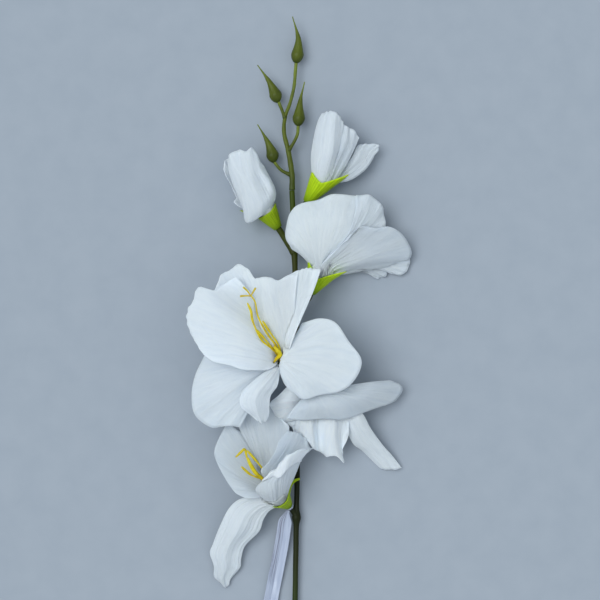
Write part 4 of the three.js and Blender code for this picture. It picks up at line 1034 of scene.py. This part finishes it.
def spray_piece(material):
    gather = Gather()
    tube(gather, smooth_route(SPRAY_ROUTE, 120), spray_radius, 20)
    for stalk, axis in BUDS:
        if stalk:
            tube(gather, smooth_route(stalk, 24), footed(BUD_STALK_RADIUS, *BUD_STALK_FOOT), 16)
        tube(gather, smooth_route(axis, 70), bud_radius, 36)
    gather.piece("moulded_buds", material, "spray", "bud_spray")


# Label strip

def label_piece(at, material):
    gather = Gather()
    centres = smooth_route(LABEL_ROUTE, 60)
    side = unit(np.cross(unit(np.gradient(centres, axis=0)), UP))
    v, u = np.meshgrid(np.linspace(-1, 1, 17), np.linspace(0, 1, 61))
    half = mix(LABEL_NECK, LABEL_WIDTH, smooth(u, 0, LABEL_WIDE_AT)) / 2
    points = centres[:, None] + side[:, None] * (v * half)[..., None]
    crumple = LABEL_CRUMPLE * ripple(u * 9 + v, LABEL_SEED, 1, 4) * smooth(u, 0.05, LABEL_FOLDED_AT)
    points[..., 2] += LABEL_FOLD * np.abs(v) * smooth(u, 0, LABEL_FOLDED_AT) + crumple
    points[..., 2] = np.maximum(points[..., 2], LABEL_LOW)
    gather.grid(points, (v + 1) / 2, u)
    turned(gather, at, [(STALK_RADIUS + SEAT_GAP, s) for s in LABEL_LOOP])
    gather.piece("label_strip", material, "label", "label", LABEL_FILM)


# Materials

# A new material's node tree, or another owner's, with short calls for what the materials share
class Nodes:
    def __init__(self, name, owners=bpy.data.materials):
        self.owner = owners.new(name)
        self.owner.use_nodes = True
        self.tree = self.owner.node_tree

    # A socket takes another's output, a colour or a plain value
    def feed(self, socket, value):
        if isinstance(value, bpy.types.NodeSocket):
            self.tree.links.new(value, socket)
        elif value is not None:
            socket.default_value = (*value, 1) if socket.type == "RGBA" else value

    # A new node's output by name
    def add(self, kind, output, inputs={}, **settings):
        node = self.tree.nodes.new(kind)
        for key, value in settings.items():
            setattr(node, key, value)
        for key, value in inputs.items():
            self.feed(next(s for s in node.inputs if s.name == key and s.enabled), value)
        return next(s for s in node.outputs if s.name == output and s.enabled)

    # One axis of the piece's own two coordinates, or of another kind
    def axis(self, name, kind="UV"):
        return self.add("ShaderNodeSeparateXYZ", name, {"Vector": self.add("ShaderNodeTexCoord", kind)})

    # A texture on the piece's own two coordinates, or on its position, stretched
    def texture(self, node, stretch, kind, inputs, **settings):
        source = {"Vector": self.add("ShaderNodeTexCoord", kind), "Scale": stretch}
        inputs = {"Vector": self.add("ShaderNodeMapping", "Vector", source), **inputs}
        return self.add(node, "Fac", inputs, **settings)

    def noise(self, stretch, detail, kind="UV"):
        inputs = {"Scale": 1, "Detail": detail, "Roughness": 0.55}
        return self.texture("ShaderNodeTexNoise", stretch, kind, inputs)

    def bands(self, stretch, scale, direction, kind="UV"):
        inputs = {"Scale": scale, "Distortion": 0.4}
        return self.texture("ShaderNodeTexWave", stretch, kind, inputs, bands_direction=direction)

    def ramp(self, factor, stops):
        output = self.add("ShaderNodeValToRGB", "Color", {"Fac": factor})
        elements = output.node.color_ramp.elements
        while len(elements) < len(stops):
            elements.new(1)
        for element, (at, colour) in zip(elements, stops):
            element.position = at
            element.color = (*colour, 1)
        return output

    def math(self, how, *values):
        output = self.add("ShaderNodeMath", "Value", operation=how)
        for socket, value in zip(output.node.inputs, values):
            self.feed(socket, value)
        return output

    def blend(self, a, b, factor, how="MIX"):
        inputs = {"Factor": factor, "A": a, "B": b}
        return self.add("ShaderNodeMix", "Result", inputs, data_type="RGBA", blend_type=how)

    def times(self, a, b):
        return self.blend(a, b, 1.0, "MULTIPLY")

    # A colour darkened where a pattern is low
    def shade(self, colour, pattern, low, high, dark):
        return self.times(colour, self.ramp(pattern, [(low, dark), (high, WHITE)]))

    # The colours along the piece
    def along(self, stops):
        return self.ramp(self.axis("Y"), stops)

    # The colour scaled by the piece's painted light and shade
    def with_painted_shading(self, colour):
        return self.times(colour, self.add("ShaderNodeAttribute", "Fac", attribute_name="tone"))

    # The finished material: its colour, its bumps as pattern and depth in metres, and its plain values
    def surface(self, colour, bumps, **values):
        normal = None
        for height, depth in bumps:
            inputs = {"Strength": 1, "Distance": depth, "Height": height, "Normal": normal}
            normal = self.add("ShaderNodeBump", "Normal", inputs)
        for name, value in {"Base Color": colour, "Normal": normal, **values}.items():
            self.feed(self.tree.nodes["Principled BSDF"].inputs[name.replace("_", " ")], value)
        return self.owner


def petal_cloth():
    n = Nodes("petal_cloth")
    streaks = n.noise((27, 4.8, 3), 4)
    colour = n.shade(n.along(PETAL_COLOURS), streaks, 0.3, 0.6, (0.93, 0.945, 0.97))
    colour = n.shade(colour, n.noise((40, 40, 40), 2, "Object"), 0.35, 0.65, (0.95, 0.96, 0.98))
    threads = n.math("ADD", *(n.bands((1, 1, 1), THREADS, way, "Object") for way in "XY"))
    return n.surface(n.with_painted_shading(colour), [(threads, 0.00003), (streaks, 0.0006)], Roughness=0.75,
                     Sheen_Weight=0.2, Sheen_Roughness=0.5, Subsurface_Weight=0.7,
                     Subsurface_Radius=(1, 1, 1.1), Subsurface_Scale=0.002, Specular_IOR_Level=0.25)


def calyx_plastic():
    n = Nodes("calyx_plastic")
    veins = n.bands((1, 0.02, 1), 9, "X")
    mottle = n.noise((160, 160, 160), 3, "Object")
    colour = n.shade(n.along(CALYX_COLOURS), veins, 0.2, 0.6, (0.80, 0.84, 0.7))
    colour = n.with_painted_shading(n.shade(colour, mottle, 0.35, 0.7, (0.84, 0.86, 0.8)))
    return n.surface(colour, [(veins, 0.00015), (mottle, 0.0002)], Roughness=0.45, Subsurface_Weight=0.45,
                     Subsurface_Radius=(1, 1, 0.3), Subsurface_Scale=0.001, Specular_IOR_Level=0.2)


def stamen_plastic():
    n = Nodes("stamen_plastic")
    mottle = n.noise((300, 300, 300), 3, "Object")
    colour = n.shade(n.along(STAMEN_COLOURS), mottle, 0.35, 0.65, (0.78, 0.72, 0.6))
    return n.surface(colour, [(mottle, 0.0002)], Roughness=0.45, Specular_IOR_Level=0.2)


def stem_plastic():
    n = Nodes("stem_plastic")
    height = n.math("MULTIPLY_ADD", n.axis("Y", "Object"), *STEM_COLOUR_RUN)
    browned = n.ramp(n.noise((60, 18, 60), 3, "Object"), [(0.52, BLACK), (0.75, (0.6, 0.6, 0.6))])
    colour = n.blend(n.ramp(height, STEM_COLOURS), STEM_BROWN, browned)
    grain = n.noise((900, 200, 900), 3, "Object")
    return n.surface(colour, [(grain, 0.00015)], Roughness=0.42, Specular_IOR_Level=0.12)


def spray_plastic():
    n = Nodes("spray_plastic")
    mottle, streaks = n.noise((120, 120, 120), 4, "Object"), n.noise((14, 2, 1), 3)
    colour = n.shade(n.along(SPRAY_COLOURS), mottle, 0.3, 0.65, (0.6, 0.62, 0.6))
    colour = n.shade(colour, streaks, 0.35, 0.65, (0.82, 0.8, 0.7))
    return n.surface(colour, [(streaks, 0.0004), (mottle, 0.0003)], Roughness=0.4, Specular_IOR_Level=0.2)


# The label's film is darker in streaks on the right of its lower part
def label_film():
    n = Nodes("label_film")
    streaks = n.noise((5, 2, 1), 3)
    film = n.ramp(streaks, FILM_COLOURS)
    gloss = n.ramp(n.noise((16, 1.5, 1), 2), [(0.46, BLACK), (0.53, WHITE)])
    right = n.ramp(n.axis("X"), [(0.48, BLACK), (0.58, WHITE)])
    low = n.along([(0.05, WHITE), (0.6, WHITE), (0.8, BLACK)])
    colour = n.blend(film, n.times(film, FILM_DARK), n.times(n.times(gloss, right), low))
    return n.surface(colour, [(streaks, 0.0006)], Roughness=0.3, Alpha=0.8)


def wire_steel():
    n = Nodes("wire_steel")
    scratches = n.noise((20, 2, 1), 3)
    return n.surface(n.ramp(scratches, STEEL_COLOURS), [(scratches, 0.00005)], Roughness=0.35, Metallic=1)


# Camera, floor and light

def add_camera():
    data = bpy.data.cameras.new("camera")
    data.sensor_width = SENSOR
    data.lens = SENSOR * VIEW_HEIGHT / VIEW_WIDTH
    data.clip_end = CLIP_END
    camera = add_object("camera", data)
    camera.location = (VIEW_CENTRE[0] * MM, VIEW_CENTRE[1] * MM, VIEW_HEIGHT * MM)
    bpy.context.scene.camera = camera


def add_floor():
    data = bpy.data.meshes.new("floor")
    corners = [(x * FLOOR_HALF, y * FLOOR_HALF, 0) for x, y in ((-1, -1), (1, -1), (1, 1), (-1, 1))]
    data.from_pydata(corners, [], [(0, 1, 2, 3)])
    n = Nodes("floor_paper")
    colour = n.ramp(n.noise((60, 60, 60), 2, "Object"), FLOOR_COLOURS)
    data.materials.append(n.surface(colour, [], Roughness=0.9, Specular_IOR_Level=0.1))
    add_object("floor", data)


def add_light():
    n = Nodes("studio", bpy.data.worlds)
    n.feed(n.tree.nodes["Background"].inputs["Color"], n.ramp(n.axis("Z", "Generated"), SKY_COLOURS))
    bpy.context.scene.world = n.owner
    sun = bpy.data.lights.new("window", "SUN")
    sun.energy, sun.angle, sun.color = SUN_STRENGTH, math.radians(SUN_WIDTH), SUN_COLOUR
    window = add_object("window", sun)
    window.location = x, y, z = SUN_PLACE
    window.rotation_euler = (math.atan2(math.hypot(x, y), z), 0, math.atan2(x, -y))
    bpy.context.scene.view_settings.view_transform = "Standard"


# The part

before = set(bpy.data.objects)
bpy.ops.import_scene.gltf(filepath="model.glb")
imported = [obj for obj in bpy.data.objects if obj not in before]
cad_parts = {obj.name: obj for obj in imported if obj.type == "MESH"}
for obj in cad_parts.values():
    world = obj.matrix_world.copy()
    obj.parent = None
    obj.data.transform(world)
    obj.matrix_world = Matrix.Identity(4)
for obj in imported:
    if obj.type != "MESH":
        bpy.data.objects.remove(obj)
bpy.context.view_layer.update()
add_camera()
add_floor()
add_light()

frames = {key: bloom_frame(bloom) for key, bloom in BLOOMS.items()}
cloth, calyx, yellow = petal_cloth(), calyx_plastic(), stamen_plastic()
for key, bloom in BLOOMS.items():
    petals_piece(key, bloom, frames[key], cloth)
    calyx_piece(key, bloom, frames[key], calyx)
for key, bloom in BLOOMS.items():
    if bloom.filaments:
        stamens_piece(key, bloom, frames[key], yellow)
stem_piece(frames, stem_plastic())
wire_piece(wire_steel())
spray_piece(spray_plastic())
label_piece(frames["f"], label_film())
